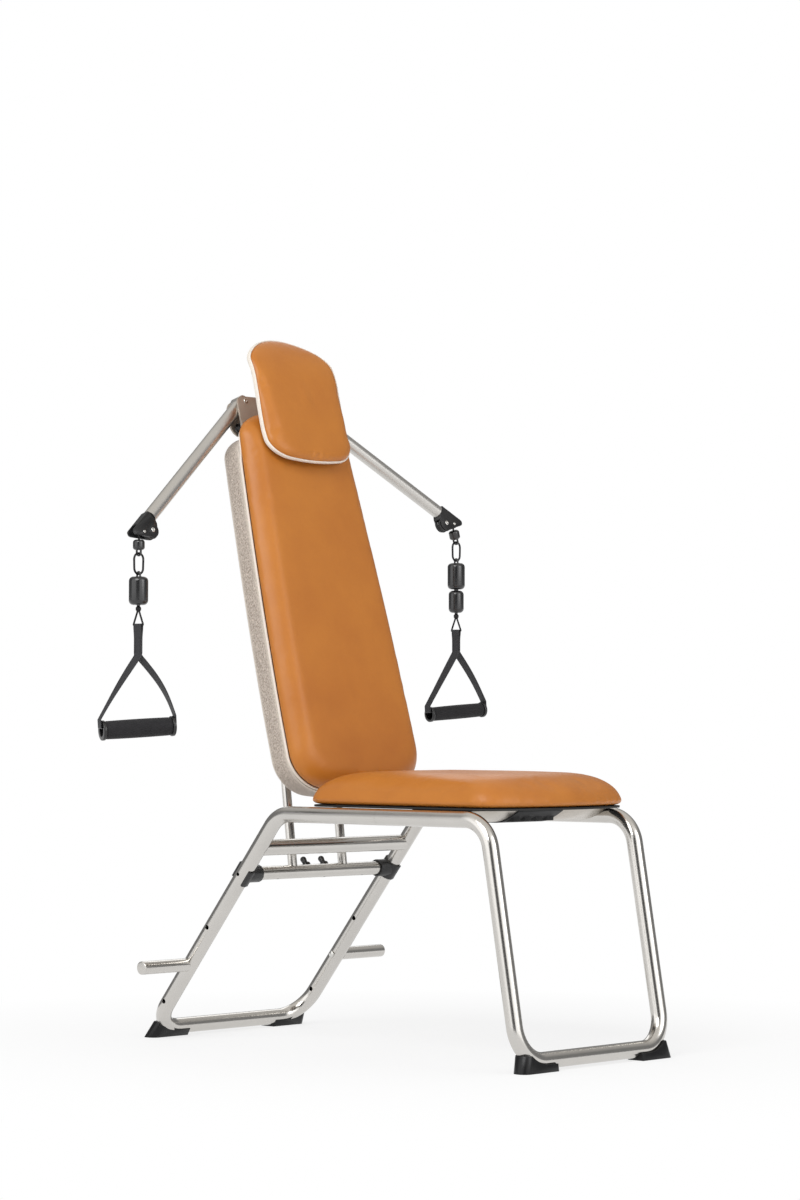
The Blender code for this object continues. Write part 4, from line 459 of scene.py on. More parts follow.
def tangents(path, loop=False):
    """Directions of a path from the chord between each point's two neighbours."""
    if loop:
        return unit(np.roll(path, -1, axis=0) - np.roll(path, 1, axis=0))
    return unit(np.gradient(path, axis=0))


def circle(radius, sides):
    """A round section: radius times the cosine and sine of evenly spaced angles."""
    angle = np.linspace(0, 2 * math.pi, sides, endpoint=False)
    return radius * np.stack([np.cos(angle), np.sin(angle)], axis=1)


def band_section(half_width, half_thickness, steps=4):
    """A flat band's section: straight faces, and half circles of its thickness as edges."""
    angle = np.linspace(-math.pi / 2, math.pi / 2, steps + 1)
    flat = half_width - half_thickness
    right = np.stack([flat + half_thickness * np.cos(angle), half_thickness * np.sin(angle)], 1)
    faces = np.stack([np.linspace(flat, -flat, 7)[1:-1], np.full(5, half_thickness)], 1)
    return np.concatenate([right, faces, -right, -faces])


def carried(section, path, across, loop=False):
    """A section carried along a path: each ring is the path's point, plus the section's first
    number along the across direction and its second along tangent cross across."""
    along = tangents(path, loop)
    across = np.broadcast_to(np.asarray(across, float), path.shape)
    across = unit(across - along * np.sum(across * along, axis=1, keepdims=True))
    thick = np.cross(along, across)
    section = np.asarray(section, float)
    if section.ndim == 2:
        section = np.broadcast_to(section, (len(path), *section.shape))
    return (path[:, None, :] + section[:, :, :1] * across[:, None, :]
            + section[:, :, 1:] * thick[:, None, :])


def turned(profile, sides, matrix=None):
    """A (radius, height) profile turned about Z: x and y are radius times cosine and sine."""
    profile = np.asarray(profile, float)
    angle = np.linspace(0, 2 * math.pi, sides, endpoint=False)
    rings = np.empty((len(profile), sides, 3))
    rings[:, :, 0] = profile[:, :1] * np.cos(angle)
    rings[:, :, 1] = profile[:, :1] * np.sin(angle)
    rings[:, :, 2] = profile[:, 1:]
    return rings if matrix is None else placed(rings, matrix)


def lathe(name, profile, sides, matrix, tips=None):
    """A turned mesh. Tips are the heights on its axis where its two ends close, and without them
    the profile closes on itself."""
    rings = turned(profile, sides, matrix)
    if tips is None:
        return build(name, rings, loop=True)
    return build(name, rings, poles=[placed([0, 0, tip], matrix) for tip in tips])


def flat_wire(route):
    """A route in a plane as points whose y is 0."""
    return np.column_stack([route[:, 0], np.zeros(len(route)), route[:, 1]])


def rounded(points, cut, steps=4, loop=False):
    """A polyline whose corners are curves: each runs from a point at most the cut before the
    corner to one as far after it, with weights (1-t)^2, 2t(1-t) and t^2."""
    points = np.asarray(points, float)
    before = np.roll(points, 1, axis=0) - points
    after = np.roll(points, -1, axis=0) - points
    share = np.linspace(0, 1, steps + 1)[None, :, None]
    spans = []
    for side in (before, after):
        length = np.maximum(np.linalg.norm(side, axis=1, keepdims=True), 1e-9)
        spans.append(points + side / length * np.minimum(cut, length * 0.5))
    curves = ((1 - share) ** 2 * spans[0][:, None] + 2 * share * (1 - share) * points[:, None]
              + share ** 2 * spans[1][:, None])
    if loop:
        return curves.reshape(-1, points.shape[1])
    middle = curves[1:-1].reshape(-1, points.shape[1])
    return np.concatenate([points[:1], middle, points[-1:]])


def arc(centre, radius, start, end, steps):
    """Points on an arc in a plane."""
    angle = np.linspace(start, end, steps + 1)
    return np.stack([centre[0] + radius * np.cos(angle), centre[1] + radius * np.sin(angle)], 1)


def bent_route(corners, radii, steps=20):
    """A tube's axis through corners, each turned into a true arc of its radius."""
    corners = np.asarray(corners, float)
    points = [corners[:1]]
    for i in range(1, len(corners) - 1):
        before = unit(corners[i - 1] - corners[i])
        after = unit(corners[i + 1] - corners[i])
        half = math.acos(float(before @ after)) / 2
        middle = corners[i] + unit(before + after) * radii[i] / math.sin(half)
        reach = radii[i] / math.tan(half)
        start = corners[i] + before * reach - middle
        end = corners[i] + after * reach - middle
        sweep = math.pi - 2 * half
        share = np.linspace(0, 1, steps + 1)[:, None]
        spoke = start * np.sin((1 - share) * sweep) + end * np.sin(share * sweep)
        points.append(middle + spoke / math.sin(sweep))
    points.append(corners[-1:])
    return np.concatenate(points)


def soft_end(side, tip, corner, crown, inward):
    """Half an outline's end, from its middle to its side. The end bows as the square of x, and a
    conic with weights (1-t)^2, sqrt(2) t(1-t) and t^2 carries its slope round the corner to the
    side's own slope. Inward is 1 at the low end and -1 at the high one."""
    flat = float(side(tip + inward * corner[1])) - corner[0]
    share = np.linspace(0, 1, 11)[:-1]
    bow = np.stack([flat * share, tip + inward * crown * share ** 2], 1)
    lift = crown + 2 * crown / flat * corner[0]
    first = np.array([flat, tip + inward * crown])
    bend = np.array([float(side(tip + inward * lift)), tip + inward * lift])
    last = np.array([flat + corner[0], tip + inward * corner[1]])
    t = np.linspace(0, 1, 17)[:, None]
    weights = ((1 - t) ** 2, math.sqrt(2) * t * (1 - t), t ** 2)
    total = first * weights[0] + bend * weights[1] + last * weights[2]
    return np.concatenate([bow, total / sum(weights)])


def soft_outline(side, low, high, low_corner, high_corner, low_crown, high_crown):
    """A closed outline, symmetric in x: side(v) is its half width, and its two ends bow."""
    v = np.linspace(low + low_corner[1], high - high_corner[1], 26)[1:-1]
    half = np.concatenate([soft_end(side, low, low_corner, low_crown, 1),
                           np.stack([side(v), v], 1),
                           soft_end(side, high, high_corner, high_crown, -1)[::-1]])
    mirrored = half[1:-1][::-1] * (-1, 1)
    return np.concatenate([half, mirrored])


def inset(outline, amount):
    """The outline drawn in about its middle by an amount at its sides and at its ends. The amount
    is one number, or a column with one for each point."""
    half_width = outline[:, 0].max()
    low, high = outline[:, 1].min(), outline[:, 1].max()
    middle = (low + high) / 2
    reach = np.array([half_width, (high - low) / 2])
    centre = np.array([0.0, middle])
    return centre + (outline - centre) * (1 - amount / reach)


# Meshes and pieces

def build(name, rings, loop=False, poles=(None, None), caps=(True, True)):
    """A mesh through rings of equal counts: quads between neighbours, and a fan to a point at
    each open end. Its UV map runs round each ring and along them, in metres."""
    rows, count = rings.shape[:2]
    index = np.arange(rows * count).reshape(rows, count)
    lower = index if loop else index[:-1]
    upper = np.roll(index, -1, axis=0) if loop else index[1:]
    quads = np.stack([lower, np.roll(lower, -1, axis=1), np.roll(upper, -1, axis=1), upper], -1)
    closed = np.concatenate([rings, rings[:, :1]], axis=1)
    widest = closed[np.argmax(np.linalg.norm(np.diff(closed, axis=1), axis=2).sum(axis=1))]
    around = np.append(0.0, np.cumsum(np.linalg.norm(np.diff(widest, axis=0), axis=1)))
    column = np.concatenate([rings[:, 0], rings[:1, 0]])
    length = np.append(0.0, np.cumsum(np.linalg.norm(np.diff(column, axis=0), axis=1)))
    u, v = np.meshgrid(around, length)
    low_rows = slice(0, len(lower))
    high_rows = slice(1, len(lower) + 1)
    corners = [(u[low_rows, :-1], v[low_rows, :-1]), (u[low_rows, 1:], v[low_rows, 1:]),
               (u[high_rows, 1:], v[high_rows, 1:]), (u[high_rows, :-1], v[high_rows, :-1])]
    quad_uv = np.stack([np.stack(pair, -1) for pair in corners], axis=2)
    points = rings.reshape(-1, 3)
    faces = [quads.reshape(-1, 4)]
    uv = [quad_uv.reshape(-1, 2)]
    if not loop:
        for end, row in ((0, 0), (1, rows - 1)):
            if not caps[end]:
                continue
            pole = rings[row].mean(axis=0) if poles[end] is None else np.asarray(poles[end])
            points = np.concatenate([points, pole[None]])
            ring = index[row]
            after = np.roll(ring, -1)
            tip = np.full(count, len(points) - 1)
            fan = np.stack([after, ring, tip] if end == 0 else [ring, after, tip], -1)
            faces.append(fan)
            spots = points[fan].reshape(-1, 3)
            uv.append(spots[:, :2])
    volume = 0.0
    for part in faces:
        for k in range(1, part.shape[1] - 1):
            a, b, c = points[part[:, 0]], points[part[:, k]], points[part[:, k + 1]]
            volume += np.sum(a * np.cross(b, c))
    if volume < 0:
        uv = [spots.reshape(len(part), part.shape[1], 2)[:, ::-1].reshape(-1, 2)
              for part, spots in zip(faces, uv)]
        faces = [part[:, ::-1] for part in faces]
    mesh = bpy.data.meshes.new(name)
    mesh.from_pydata(points.tolist(), [], [face for part in faces for face in part.tolist()])
    layer = mesh.uv_layers.new(name="surface")
    layer.data.foreach_set("uv", np.concatenate(uv).astype(np.float32).ravel())
    return mesh


def merged(name, meshes):
    """Several meshes as one."""
    bm = bmesh.new()
    for mesh in meshes:
        bm.from_mesh(mesh)
        bpy.data.meshes.remove(mesh)
    mesh = bpy.data.meshes.new(name)
    bm.to_mesh(mesh)
    bm.free()
    return mesh


def smooth(mesh):
    """Smooth shading, with edges sharper than an angle left hard."""
    mesh.shade_smooth()
    mesh.set_sharp_from_angle(angle=SMOOTH_ANGLE)


def show(name, mesh):
    """A new object in the scene for a mesh."""
    item = bpy.data.objects.new(name, mesh)
    bpy.context.scene.collection.objects.link(item)
    return item


def settle(item):
    """Turns an object's modifiers into its mesh."""
    bpy.context.view_layer.update()
    depsgraph = bpy.context.evaluated_depsgraph_get()
    mesh = bpy.data.meshes.new_from_object(item.evaluated_get(depsgraph))
    old = item.data
    item.modifiers.clear()
    item.data = mesh
    bpy.data.meshes.remove(old)
    return item


def piece(name, mesh, material, body, nodes=()):
    """A finished piece: it has its material, rides on a body and stands for CAD nodes."""
    item = mesh if isinstance(mesh, bpy.types.Object) else show(name, mesh)
    item.name = name
    smooth(item.data)
    item.data.materials.clear()
    item.data.materials.append(material)
    if body:
        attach(item, body)
    if nodes:
        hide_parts(*nodes)
    return item


def drilled(item, meshes):
    """Cuts closed meshes out of an object."""
    tools = []
    for k, mesh in enumerate(meshes):
        tool = show(f"cutter_{k}", mesh)
        modifier = item.modifiers.new(f"Cut {k}", "BOOLEAN")
        modifier.operation = "DIFFERENCE"
        modifier.object = tool
        modifier.solver = "EXACT"
        tools.append(tool)
    settle(item)
    for tool in tools:
        mesh = tool.data
        bpy.data.objects.remove(tool)
        bpy.data.meshes.remove(mesh)
    return item


def rod(name, start, end, radius, sides=32):
    """A straight round bar with flat ends."""
    path = np.array([start, end], float)
    reference = (0, 0, 1) if abs(unit(path[1] - path[0])[2]) < 0.9 else (1, 0, 0)
    across = np.cross(path[1] - path[0], reference)
    return build(name, carried(circle(radius, sides), path, across))


def pipe(name, path, radius, wall, sides, reference):
    """A hollow tube: its outer rings from start to end and then its inner rings back again."""
    across = np.cross(tangents(path), reference)
    outer = carried(circle(radius, sides), path, across)
    inner = carried(circle(radius - wall, sides), path, across)
    return build(name, np.concatenate([outer, inner[::-1]]), loop=True)


def wire(name, path, radius, reference, loop=False, sides=WIRE_SIDES):
    """A round wire along a path."""
    path = np.asarray(path, float)
    across = np.cross(tangents(path, loop), reference)
    return build(name, carried(circle(radius, sides), path, across, loop), loop=loop)


def node_piece(name, node, material, body="chair"):
    """A piece that is a copy of a CAD node, its triangles merged to flat faces and its edges
    rounded by the width that EDGES has for it."""
    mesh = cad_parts[node].data.copy()
    bm = bmesh.new()
    bm.from_mesh(mesh)
    bmesh.ops.remove_doubles(bm, verts=bm.verts, dist=MERGE_DISTANCE)
    bmesh.ops.dissolve_limit(bm, angle_limit=FLAT_ANGLE, verts=bm.verts, edges=bm.edges)
    bm.to_mesh(mesh)
    bm.free()
    item = show(name, mesh)
    modifier = item.modifiers.new("Edges", "BEVEL")
    modifier.width = EDGES[node.removesuffix("_right").removesuffix("_left")]
    modifier.segments = 2
    modifier.limit_method = "ANGLE"
    modifier.angle_limit = EDGE_ANGLE
    settle(item)
    return piece(name, item, material, body, [node])


# Materials

def linear(code):
    """An sRGB hex colour as linear light."""
    values = np.array([int(code[i:i + 2], 16) for i in (0, 2, 4)]) / 255
    light = np.where(values <= 0.04045, values / 12.92, ((values + 0.055) / 1.055) ** 2.4)
    return (*light.tolist(), 1.0)


def add_node(tree, kind, values=None, links=None, **settings):
    """Adds a node with its settings, input values and links."""
    node = tree.nodes.new(kind)
    for name, value in settings.items():
        setattr(node, name, value)
    for name, value in (values or {}).items():
        node.inputs[name].default_value = value
    for name, output in (links or {}).items():
        tree.links.new(output, node.inputs[name])
    return node


def start_material(name, metallic, roughness, specular=0.5, coat=0.0, coat_roughness=0.1,
                   sheen=0.0):
    """A new material with its plain values on the shader's own sockets."""
    material = bpy.data.materials.new(name)
    material.use_nodes = True
    tree = material.node_tree
    values = {"Metallic": metallic, "Roughness": roughness, "Specular IOR Level": specular,
              "Coat Weight": coat, "Coat Roughness": coat_roughness, "Sheen Weight": sheen}
    for socket, value in values.items():
        tree.nodes["Principled BSDF"].inputs[socket].default_value = value
    return material, tree


def surfaced(material, colour, rough, bump):
    """The material with its colour, roughness and bump nodes linked to its shader."""
    tree = material.node_tree
    shader = tree.nodes["Principled BSDF"]
    tree.links.new(colour.outputs["Result"], shader.inputs["Base Color"])
    tree.links.new(rough.outputs[0], shader.inputs["Roughness"])
    tree.links.new(bump.outputs[0], shader.inputs["Normal"])
    return material


def grained(name, low, high, grain, depth, roughness, spread, metallic=0.0, specular=0.5,
            coordinate="Object", stretch=(1.0, 1.0, 1.0)):
    """A finish with a fine grain and broad clouds: the clouds move the colour from low to high,
    and the grain moves the roughness and dents the surface. Grain and depth in metres."""
    material, tree = start_material(name, metallic, roughness, specular, 0.0, 0.15)
    where = add_node(tree, "ShaderNodeTexCoord")
    scaled = add_node(tree, "ShaderNodeMapping", {"Scale": stretch},
                      {"Vector": where.outputs[coordinate]})
    fine = add_node(tree, "ShaderNodeTexNoise", {"Scale": 1 / grain, "Detail": 3.0},
                    {"Vector": scaled.outputs[0]})
    broad = add_node(tree, "ShaderNodeTexNoise", {"Scale": 1 / CLOUD_SIZE, "Detail": 2.0},
                     {"Vector": where.outputs["Object"]})
    both = add_node(tree, "ShaderNodeMath", {1: GRAIN_SHARE}, {0: fine.outputs["Fac"]},
                    operation="MULTIPLY")
    mixed = add_node(tree, "ShaderNodeMath", {}, {0: both.outputs[0], 1: broad.outputs["Fac"]},
                     operation="ADD")
    share = add_node(tree, "ShaderNodeMapRange", {"From Min": 0.42, "From Max": 0.92},
                     {"Value": mixed.outputs[0]})
    colour = add_node(tree, "ShaderNodeMix", {"A": low, "B": high},
                      {"Factor": share.outputs[0]}, data_type="RGBA")
    rough = add_node(tree, "ShaderNodeMapRange",
                     {"From Min": 0.3, "From Max": 0.7, "To Min": roughness - spread,
                      "To Max": roughness + spread}, {"Value": fine.outputs["Fac"]})
    bump = add_node(tree, "ShaderNodeBump", {"Strength": 0.6, "Distance": depth},
                    {"Height": fine.outputs["Fac"]})
    return surfaced(material, colour, rough, bump)


def satin_stainless(context, name="stainless_belt_polished", roughness=0.19):
    """Stainless tube, belt-polished to satin: fine lines round the tube soften every reflection
    into long bands. Polishing grit leaves lines 0.1 mm wide, drawn 0.6 mm so that they show."""
    colour = (*context.scene.chair_frame.steel, 1.0)
    darker = tuple(value * 0.95 for value in colour[:3]) + (1.0,)
    return grained(name, darker, colour, 0.0006, 0.000002, roughness, 0.03,
                   metallic=1.0, coordinate="UV", stretch=(0.02, 1.0, 1.0))


def brushed_stainless(context):
    """Stainless tube, brushed with an abrasive pad: duller than the frame's tubes, so that the
    reflections of the leather and the room run together into one soft light band."""
    return satin_stainless(context, "stainless_pad_brushed", 0.33)


# Grained finishes: name, dark and light colours, grain and dent in metres, roughness and how far
# the grain moves it, and then the settings that differ from the usual ones
GRAINED = {
    # Cold-rolled steel sheet, tumbled: a warm grey with a faint mottled bloom
    "sheet": ("steel_sheet_tumbled", "ADA69C", "C8C1B8", 0.0012, 0.00002, 0.30, 0.05,
              {"metallic": 1.0}),
    # Bent steel plate, powder-coated warm grey: fine orange peel about 1 mm across
    "plate": ("steel_plate_powder_coated", "A79B8E", "BDB1A4", 0.0011, 0.00003, 0.38, 0.05,
              {"metallic": 0.35}),
    # Zinc-plated screw steel, turned: almost mirror bright, with a slight haze
    "screw": ("zinc_steel_turned", "C9C8C4", "E6E5E1", 0.0008, 0.00002, 0.18, 0.05,
              {"metallic": 1.0}),
    # Spring steel wire, oxidised black: a dark metal that still takes thin highlights
    "wire": ("steel_wire_blackened", "1C1C1D", "303031", 0.0007, 0.00004, 0.34, 0.07,
             {"metallic": 0.75}),
    # Glass-filled nylon, moulded in a spark-eroded tool: a fine matt grain 0.35 mm across
    "nylon": ("nylon_moulded_black", "131314", "1E1E1F", 0.00035, 0.00003, 0.36, 0.06, {}),
    # Acetal, turned and polished: deep black with clear, soft-edged highlights
    "gloss": ("acetal_turned_black", "121213", "1D1D1E", 0.0009, 0.00002, 0.24, 0.05,
              {"specular": 0.55}),
    # Rubber-coated cast weight: a near-black skin with broad satin highlights
    "weight": ("rubber_coated_weight", "101012", "19191B", 0.0006, 0.000004, 0.22, 0.03,
               {"specular": 0.8}),
    # Santoprene foot, moulded: near black, with a low sheen along its rounded nose
    "foot": ("rubber_moulded_foot", "0B0B0C", "141415", 0.0008, 0.00002, 0.34, 0.06,
             {"specular": 0.3}),
    # Slotted rubber mat, compression moulded: flat black with a dusty bloom
    "mat": ("rubber_mat_pressed", "161617", "262627", 0.0009, 0.00008, 0.62, 0.08,
            {"specular": 0.35}),
    # Birch plywood, stained black and sealed: long grain lines under a dull film
    "board": ("plywood_stained_black", "0F0F10", "1E1D1D", 0.0014, 0.00008, 0.55, 0.08,
              {"stretch": (1.0, 0.08, 1.0), "specular": 0.4}),
}


def tan_leather(context):
    """Aniline leather, embossed and waxed: pebbles about 1.1 mm across in soft clouds of tan,
    with a low, broad highlight."""
    colours = context.scene.chair_upholstery
    material, tree = start_material("leather_embossed_tan", 0.0, 0.40, 0.36, 0.05, 0.3)
    where = add_node(tree, "ShaderNodeTexCoord")
    pebbles = add_node(tree, "ShaderNodeTexVoronoi", {"Scale": 1 / 0.0011, "Randomness": 0.9},
                       {"Vector": where.outputs["Object"]}, feature="SMOOTH_F1")
    creases = add_node(tree, "ShaderNodeTexNoise", {"Scale": 1 / 0.007, "Detail": 5.0,
                                                    "Roughness": 0.62},
                       {"Vector": where.outputs["Object"]})
    clouds = add_node(tree, "ShaderNodeTexNoise", {"Scale": 1 / 0.09, "Detail": 3.0},
                      {"Vector": where.outputs["Object"]})
    tone = add_node(tree, "ShaderNodeMapRange", {"From Min": 0.3, "From Max": 0.7},
                    {"Value": clouds.outputs["Fac"]})
    base = add_node(tree, "ShaderNodeMix",
                    {"A": linear(colours.leather_deep), "B": linear(colours.leather)},
                    {"Factor": tone.outputs[0]}, data_type="RGBA")
    pits = add_node(tree, "ShaderNodeMapRange", {"From Min": 0.25, "From Max": 0.75,
                                                 "To Min": 0.0, "To Max": 0.10},
                    {"Value": creases.outputs["Fac"]})
    colour = add_node(tree, "ShaderNodeMix", {"B": linear("A45E29")},
                      {"Factor": pits.outputs[0], "A": base.outputs["Result"]}, data_type="RGBA")
    rough = add_node(tree, "ShaderNodeMapRange", {"From Min": 0.3, "From Max": 0.7,
                                                  "To Min": 0.36, "To Max": 0.44},
                     {"Value": creases.outputs["Fac"]})
    fine = add_node(tree, "ShaderNodeBump", {"Strength": 0.3, "Distance": 0.00006},
                    {"Height": pebbles.outputs["Distance"]})
    bump = add_node(tree, "ShaderNodeBump", {"Strength": 0.3, "Distance": 0.00012},
                    {"Height": creases.outputs["Fac"], "Normal": fine.outputs[0]})
    return surfaced(material, colour, rough, bump)


def grey_felt(context):
    """Polyester felt, needled and pressed over a form: pale and dark fibres 2 to 3 mm long give
    a warm grey speckle. A pale cream painted highlight lies along the shell's rim and fold."""
    colours = context.scene.chair_upholstery
    material, tree = start_material("felt_pressed_grey", 0.0, 0.95, 0.2, sheen=0.25)
    where = add_node(tree, "ShaderNodeTexCoord")
    stretched = add_node(tree, "ShaderNodeMapping", {"Scale": (1.0, 1.0, 0.45),
                                                     "Rotation": (0.4, 0.7, 0.2)},
                         {"Vector": where.outputs["Object"]})
    fibres = add_node(tree, "ShaderNodeTexNoise", {"Scale": 1 / 0.0016, "Detail": 4.0,
                                                   "Roughness": 0.7},
                      {"Vector": stretched.outputs[0]})
    tufts = add_node(tree, "ShaderNodeTexNoise", {"Scale": 1 / 0.009, "Detail": 3.0},
                     {"Vector": where.outputs["Object"]})
    share = add_node(tree, "ShaderNodeMapRange", {"From Min": 0.40, "From Max": 0.60},
                     {"Value": fibres.outputs["Fac"]})
    speckle = add_node(tree, "ShaderNodeMix",
                       {"A": linear(colours.felt_dark), "B": linear(colours.felt_light)},
                       {"Factor": share.outputs[0]}, data_type="RGBA")
    worn = add_node(tree, "ShaderNodeMapRange", {"From Min": 0.35, "From Max": 0.75,
                                                 "To Min": 0.0, "To Max": 0.3},
                    {"Value": tufts.outputs["Fac"]})
    shaded = add_node(tree, "ShaderNodeMix", {"B": linear("A3978B")},
                      {"Factor": worn.outputs[0], "A": speckle.outputs["Result"]},
                      data_type="RGBA")
    # The rim attribute carries a painted highlight: the felt turns pale cream along the rim and the
    # fold
    rim = add_node(tree, "ShaderNodeAttribute", attribute_name="rim")
    colour = add_node(tree, "ShaderNodeMix", {"B": linear("E4D9CC")},
                      {"Factor": rim.outputs["Fac"], "A": shaded.outputs["Result"]},
                      data_type="RGBA")
    rough = add_node(tree, "ShaderNodeMapRange", {"To Min": 0.88, "To Max": 1.0},
                     {"Value": fibres.outputs["Fac"]})
    bump = add_node(tree, "ShaderNodeBump", {"Strength": 0.8, "Distance": 0.0006},
                    {"Height": fibres.outputs["Fac"]})
    return surfaced(material, colour, rough, bump)


def woven(name, low, high, across, along, depth, roughness, sheen=0.1):
    """Cloth tape on its own UV map: one wave runs across the tape and one along it, and their
    product stands for the threads that pass over and under. Across and along in metres."""
    material, tree = start_material(name, 0.0, roughness, 0.3, sheen=sheen)
    where = add_node(tree, "ShaderNodeTexCoord")
    fuzz = add_node(tree, "ShaderNodeTexNoise", {"Scale": 1 / 0.0011, "Detail": 3.0},
                    {"Vector": where.outputs["Object"]})
    warp = add_node(tree, "ShaderNodeTexWave", {"Scale": BAND_CYCLE / across, "Distortion": 0.25},
                    {"Vector": where.outputs["UV"]}, wave_type="BANDS", bands_direction="X")
    weft = add_node(tree, "ShaderNodeTexWave", {"Scale": BAND_CYCLE / along, "Distortion": 0.25},
                    {"Vector": where.outputs["UV"]}, wave_type="BANDS", bands_direction="Y")
    threads = add_node(tree, "ShaderNodeMath", {},
                       {0: warp.outputs["Fac"], 1: weft.outputs["Fac"]}, operation="MULTIPLY")
    height = add_node(tree, "ShaderNodeMath", {2: 0.0},
                      {0: threads.outputs[0], 1: fuzz.outputs["Fac"], 2: threads.outputs[0]},
                      operation="MULTIPLY_ADD")
    share = add_node(tree, "ShaderNodeMapRange", {"From Min": 0.0, "From Max": 1.1},
                     {"Value": height.outputs[0]})
    colour = add_node(tree, "ShaderNodeMix", {"A": low, "B": high},
                      {"Factor": share.outputs[0]}, data_type="RGBA")
    rough = add_node(tree, "ShaderNodeMapRange", {"To Min": roughness + 0.1,
                                                  "To Max": roughness - 0.1},
                     {"Value": threads.outputs[0]})
    bump = add_node(tree, "ShaderNodeBump", {"Strength": 0.7, "Distance": depth},
                    {"Height": height.outputs[0]})
    return surfaced(material, colour, rough, bump)


def cream_tape():
    """Cotton piping tape, woven: cream threads 0.8 mm apart, drawn 1.2 mm so that they show."""
    return woven("cotton_tape_woven_cream", linear("E2D8CB"), linear("F6F0E7"), 0.0012, 0.0012,
                 0.0001, 0.85, 0.2)


def strap_webbing(context):
    """Nylon webbing, woven in ribs: dark satin threads that run across the strap 1.3 mm apart."""
    return woven("nylon_webbing_woven", linear("242426"),
                 linear(context.scene.chair_handle.webbing), 0.0010, 0.0013, 0.00005, 0.46, 0.05)


def braided_cord():
    """Polyester cord, braided: a dull black with a crossing thread every millimetre."""
    return woven("polyester_cord_braided", linear("121213"), linear("2A2A2B"), 0.0011, 0.0010,
                 0.0003, 0.6)


def grip_foam(context):
    """EVA foam sleeve, cut and skinned: pores about 0.8 mm across in a flat charcoal black."""
    material, tree = start_material("eva_foam_skinned", 0.0, 0.9, 0.3, sheen=0.08)
    where = add_node(tree, "ShaderNodeTexCoord")
    pores = add_node(tree, "ShaderNodeTexVoronoi", {"Scale": 1 / 0.0009},
                     {"Vector": where.outputs["Object"]}, feature="F1")
    broad = add_node(tree, "ShaderNodeTexNoise", {"Scale": 1 / 0.012, "Detail": 3.0},
                     {"Vector": where.outputs["Object"]})
    pits = add_node(tree, "ShaderNodeMapRange", {"From Min": 0.05, "From Max": 0.45},
                    {"Value": pores.outputs["Distance"]})
    tone = add_node(tree, "ShaderNodeMath", {}, {0: pits.outputs[0], 1: broad.outputs["Fac"]},
                    operation="MULTIPLY")
    colour = add_node(tree, "ShaderNodeMix",
                      {"A": linear("18181A"), "B": linear(context.scene.chair_handle.foam)},
                      {"Factor": tone.outputs[0]}, data_type="RGBA")
    rough = add_node(tree, "ShaderNodeMapRange", {"To Min": 0.98, "To Max": 0.82},
                     {"Value": pits.outputs[0]})
    bump = add_node(tree, "ShaderNodeBump", {"Strength": 0.7, "Distance": 0.0003},
                    {"Height": pits.outputs[0]})
    return surfaced(material, colour, rough, bump)


def finishes(context):
    """All the chair's materials by a short name, made once."""
    if not FINISHES:
        for key, (name, low, high, *numbers, settings) in GRAINED.items():
            FINISHES[key] = grained(name, linear(low), linear(high), *numbers, **settings)
        FINISHES.update(
            steel=satin_stainless(context), brushed=brushed_stainless(context),
            leather=tan_leather(context), felt=grey_felt(context), tape=cream_tape(),
            webbing=strap_webbing(context), cord=braided_cord(), foam=grip_foam(context))
    return FINISHES


FINISHES = {}


# Places that several pieces share

def leg_point(share, side=0):
    """A point on the rear legs' axis line, a share of the way down from the rail's corner."""
    top = np.array([0.0, REAR_CORNER_Y, RAIL_HEIGHT])
    foot = np.array([0.0, HALF_DEPTH, FLOOR_HEIGHT])
    point = lerp(top, foot, share)
    point[0] = side * HALF_WIDTH
    return point + SHIFT


def leg_direction():
    """The way a rear leg runs down."""
    return unit(np.array([0.0, HALF_DEPTH - REAR_CORNER_Y, FLOOR_HEIGHT - RAIL_HEIGHT]))


def axes_matrix(x, y, z, origin):
    """The 4 x 4 matrix of a frame with these three axes and this origin."""
    matrix = np.identity(4)
    matrix[:3, 0] = x
    matrix[:3, 1] = y
    matrix[:3, 2] = z
    matrix[:3, 3] = origin
    return matrix


def leaning(origin, lean):
    """A frame at an origin, its Z leaning back by an angle about X."""
    c, s = math.cos(lean), math.sin(lean)
    return axes_matrix((1, 0, 0), (0, c, -s), (0, s, c), np.asarray(origin) + SHIFT)


BACK = leaning(BACK_SEAM, BACK_LEAN)


def arm_matrix(data):
    """The arm's frame: X along the arm, Z towards its inner lower side."""
    side, angle = data["side"], math.radians(data["arm"])
    forward = np.array([side * math.sin(angle), 0, -math.cos(angle)])
    inner = np.array([-side * math.cos(angle), 0, -math.sin(angle)])
    across = np.cross(inner, forward)
    local = axes_matrix(forward, across, inner, (side * PIVOT[0], ARM_DEPTH, PIVOT[1]))
    return BACK @ local


def lie_across(x, z):
    """A frame in an arm's head or in the bracket whose Z is the axle's direction."""
    return axes_matrix((1, 0, 0), (0, 0, 1), (0, -1, 0), (x, 0, z))


def chain_places(data):
    """Where each piece of a chain hangs, from the head's roller down."""
    side = data["side"]
    roller = placed([ROLLER[0], 0, ROLLER[1]], arm_matrix(data))
    tilt = -side * math.radians(data["tilt"])
    c, s = math.cos(tilt), math.sin(tilt)
    turn = axes_matrix((c, 0, -s), (0, 1, 0), (s, 0, c), (0, 0, 0))
    turn[:3, 3] = roller + turn[:3, :3] @ np.array([side * CORD_OFFSET, 0, 0])
    low = -STUB - FERRULE_LENGTH
    link = placed([0, 0, low - EYE_LEG - EYE_HALF_WIDTH], turn)
    barrel = link + (0, 0, EYE_WIRE + LINK_WIRE + GAP - LINK_HEIGHT + 2 * LINK_WIRE)
    z = -LINK_WIRE - BARREL_SPACE
    for _, height in data["barrels"]:
        z -= height + BARREL_SPACE
    ring = barrel + (0, 0, z + BARREL_SPACE)
    handle = ring + (0, 0, -SWIVEL_HEIGHT + 2 * RING_WIRE - RING_HEIGHT)
    return {"pull": turn, "link": link, "barrel": barrel, "ring": ring, "handle": handle}


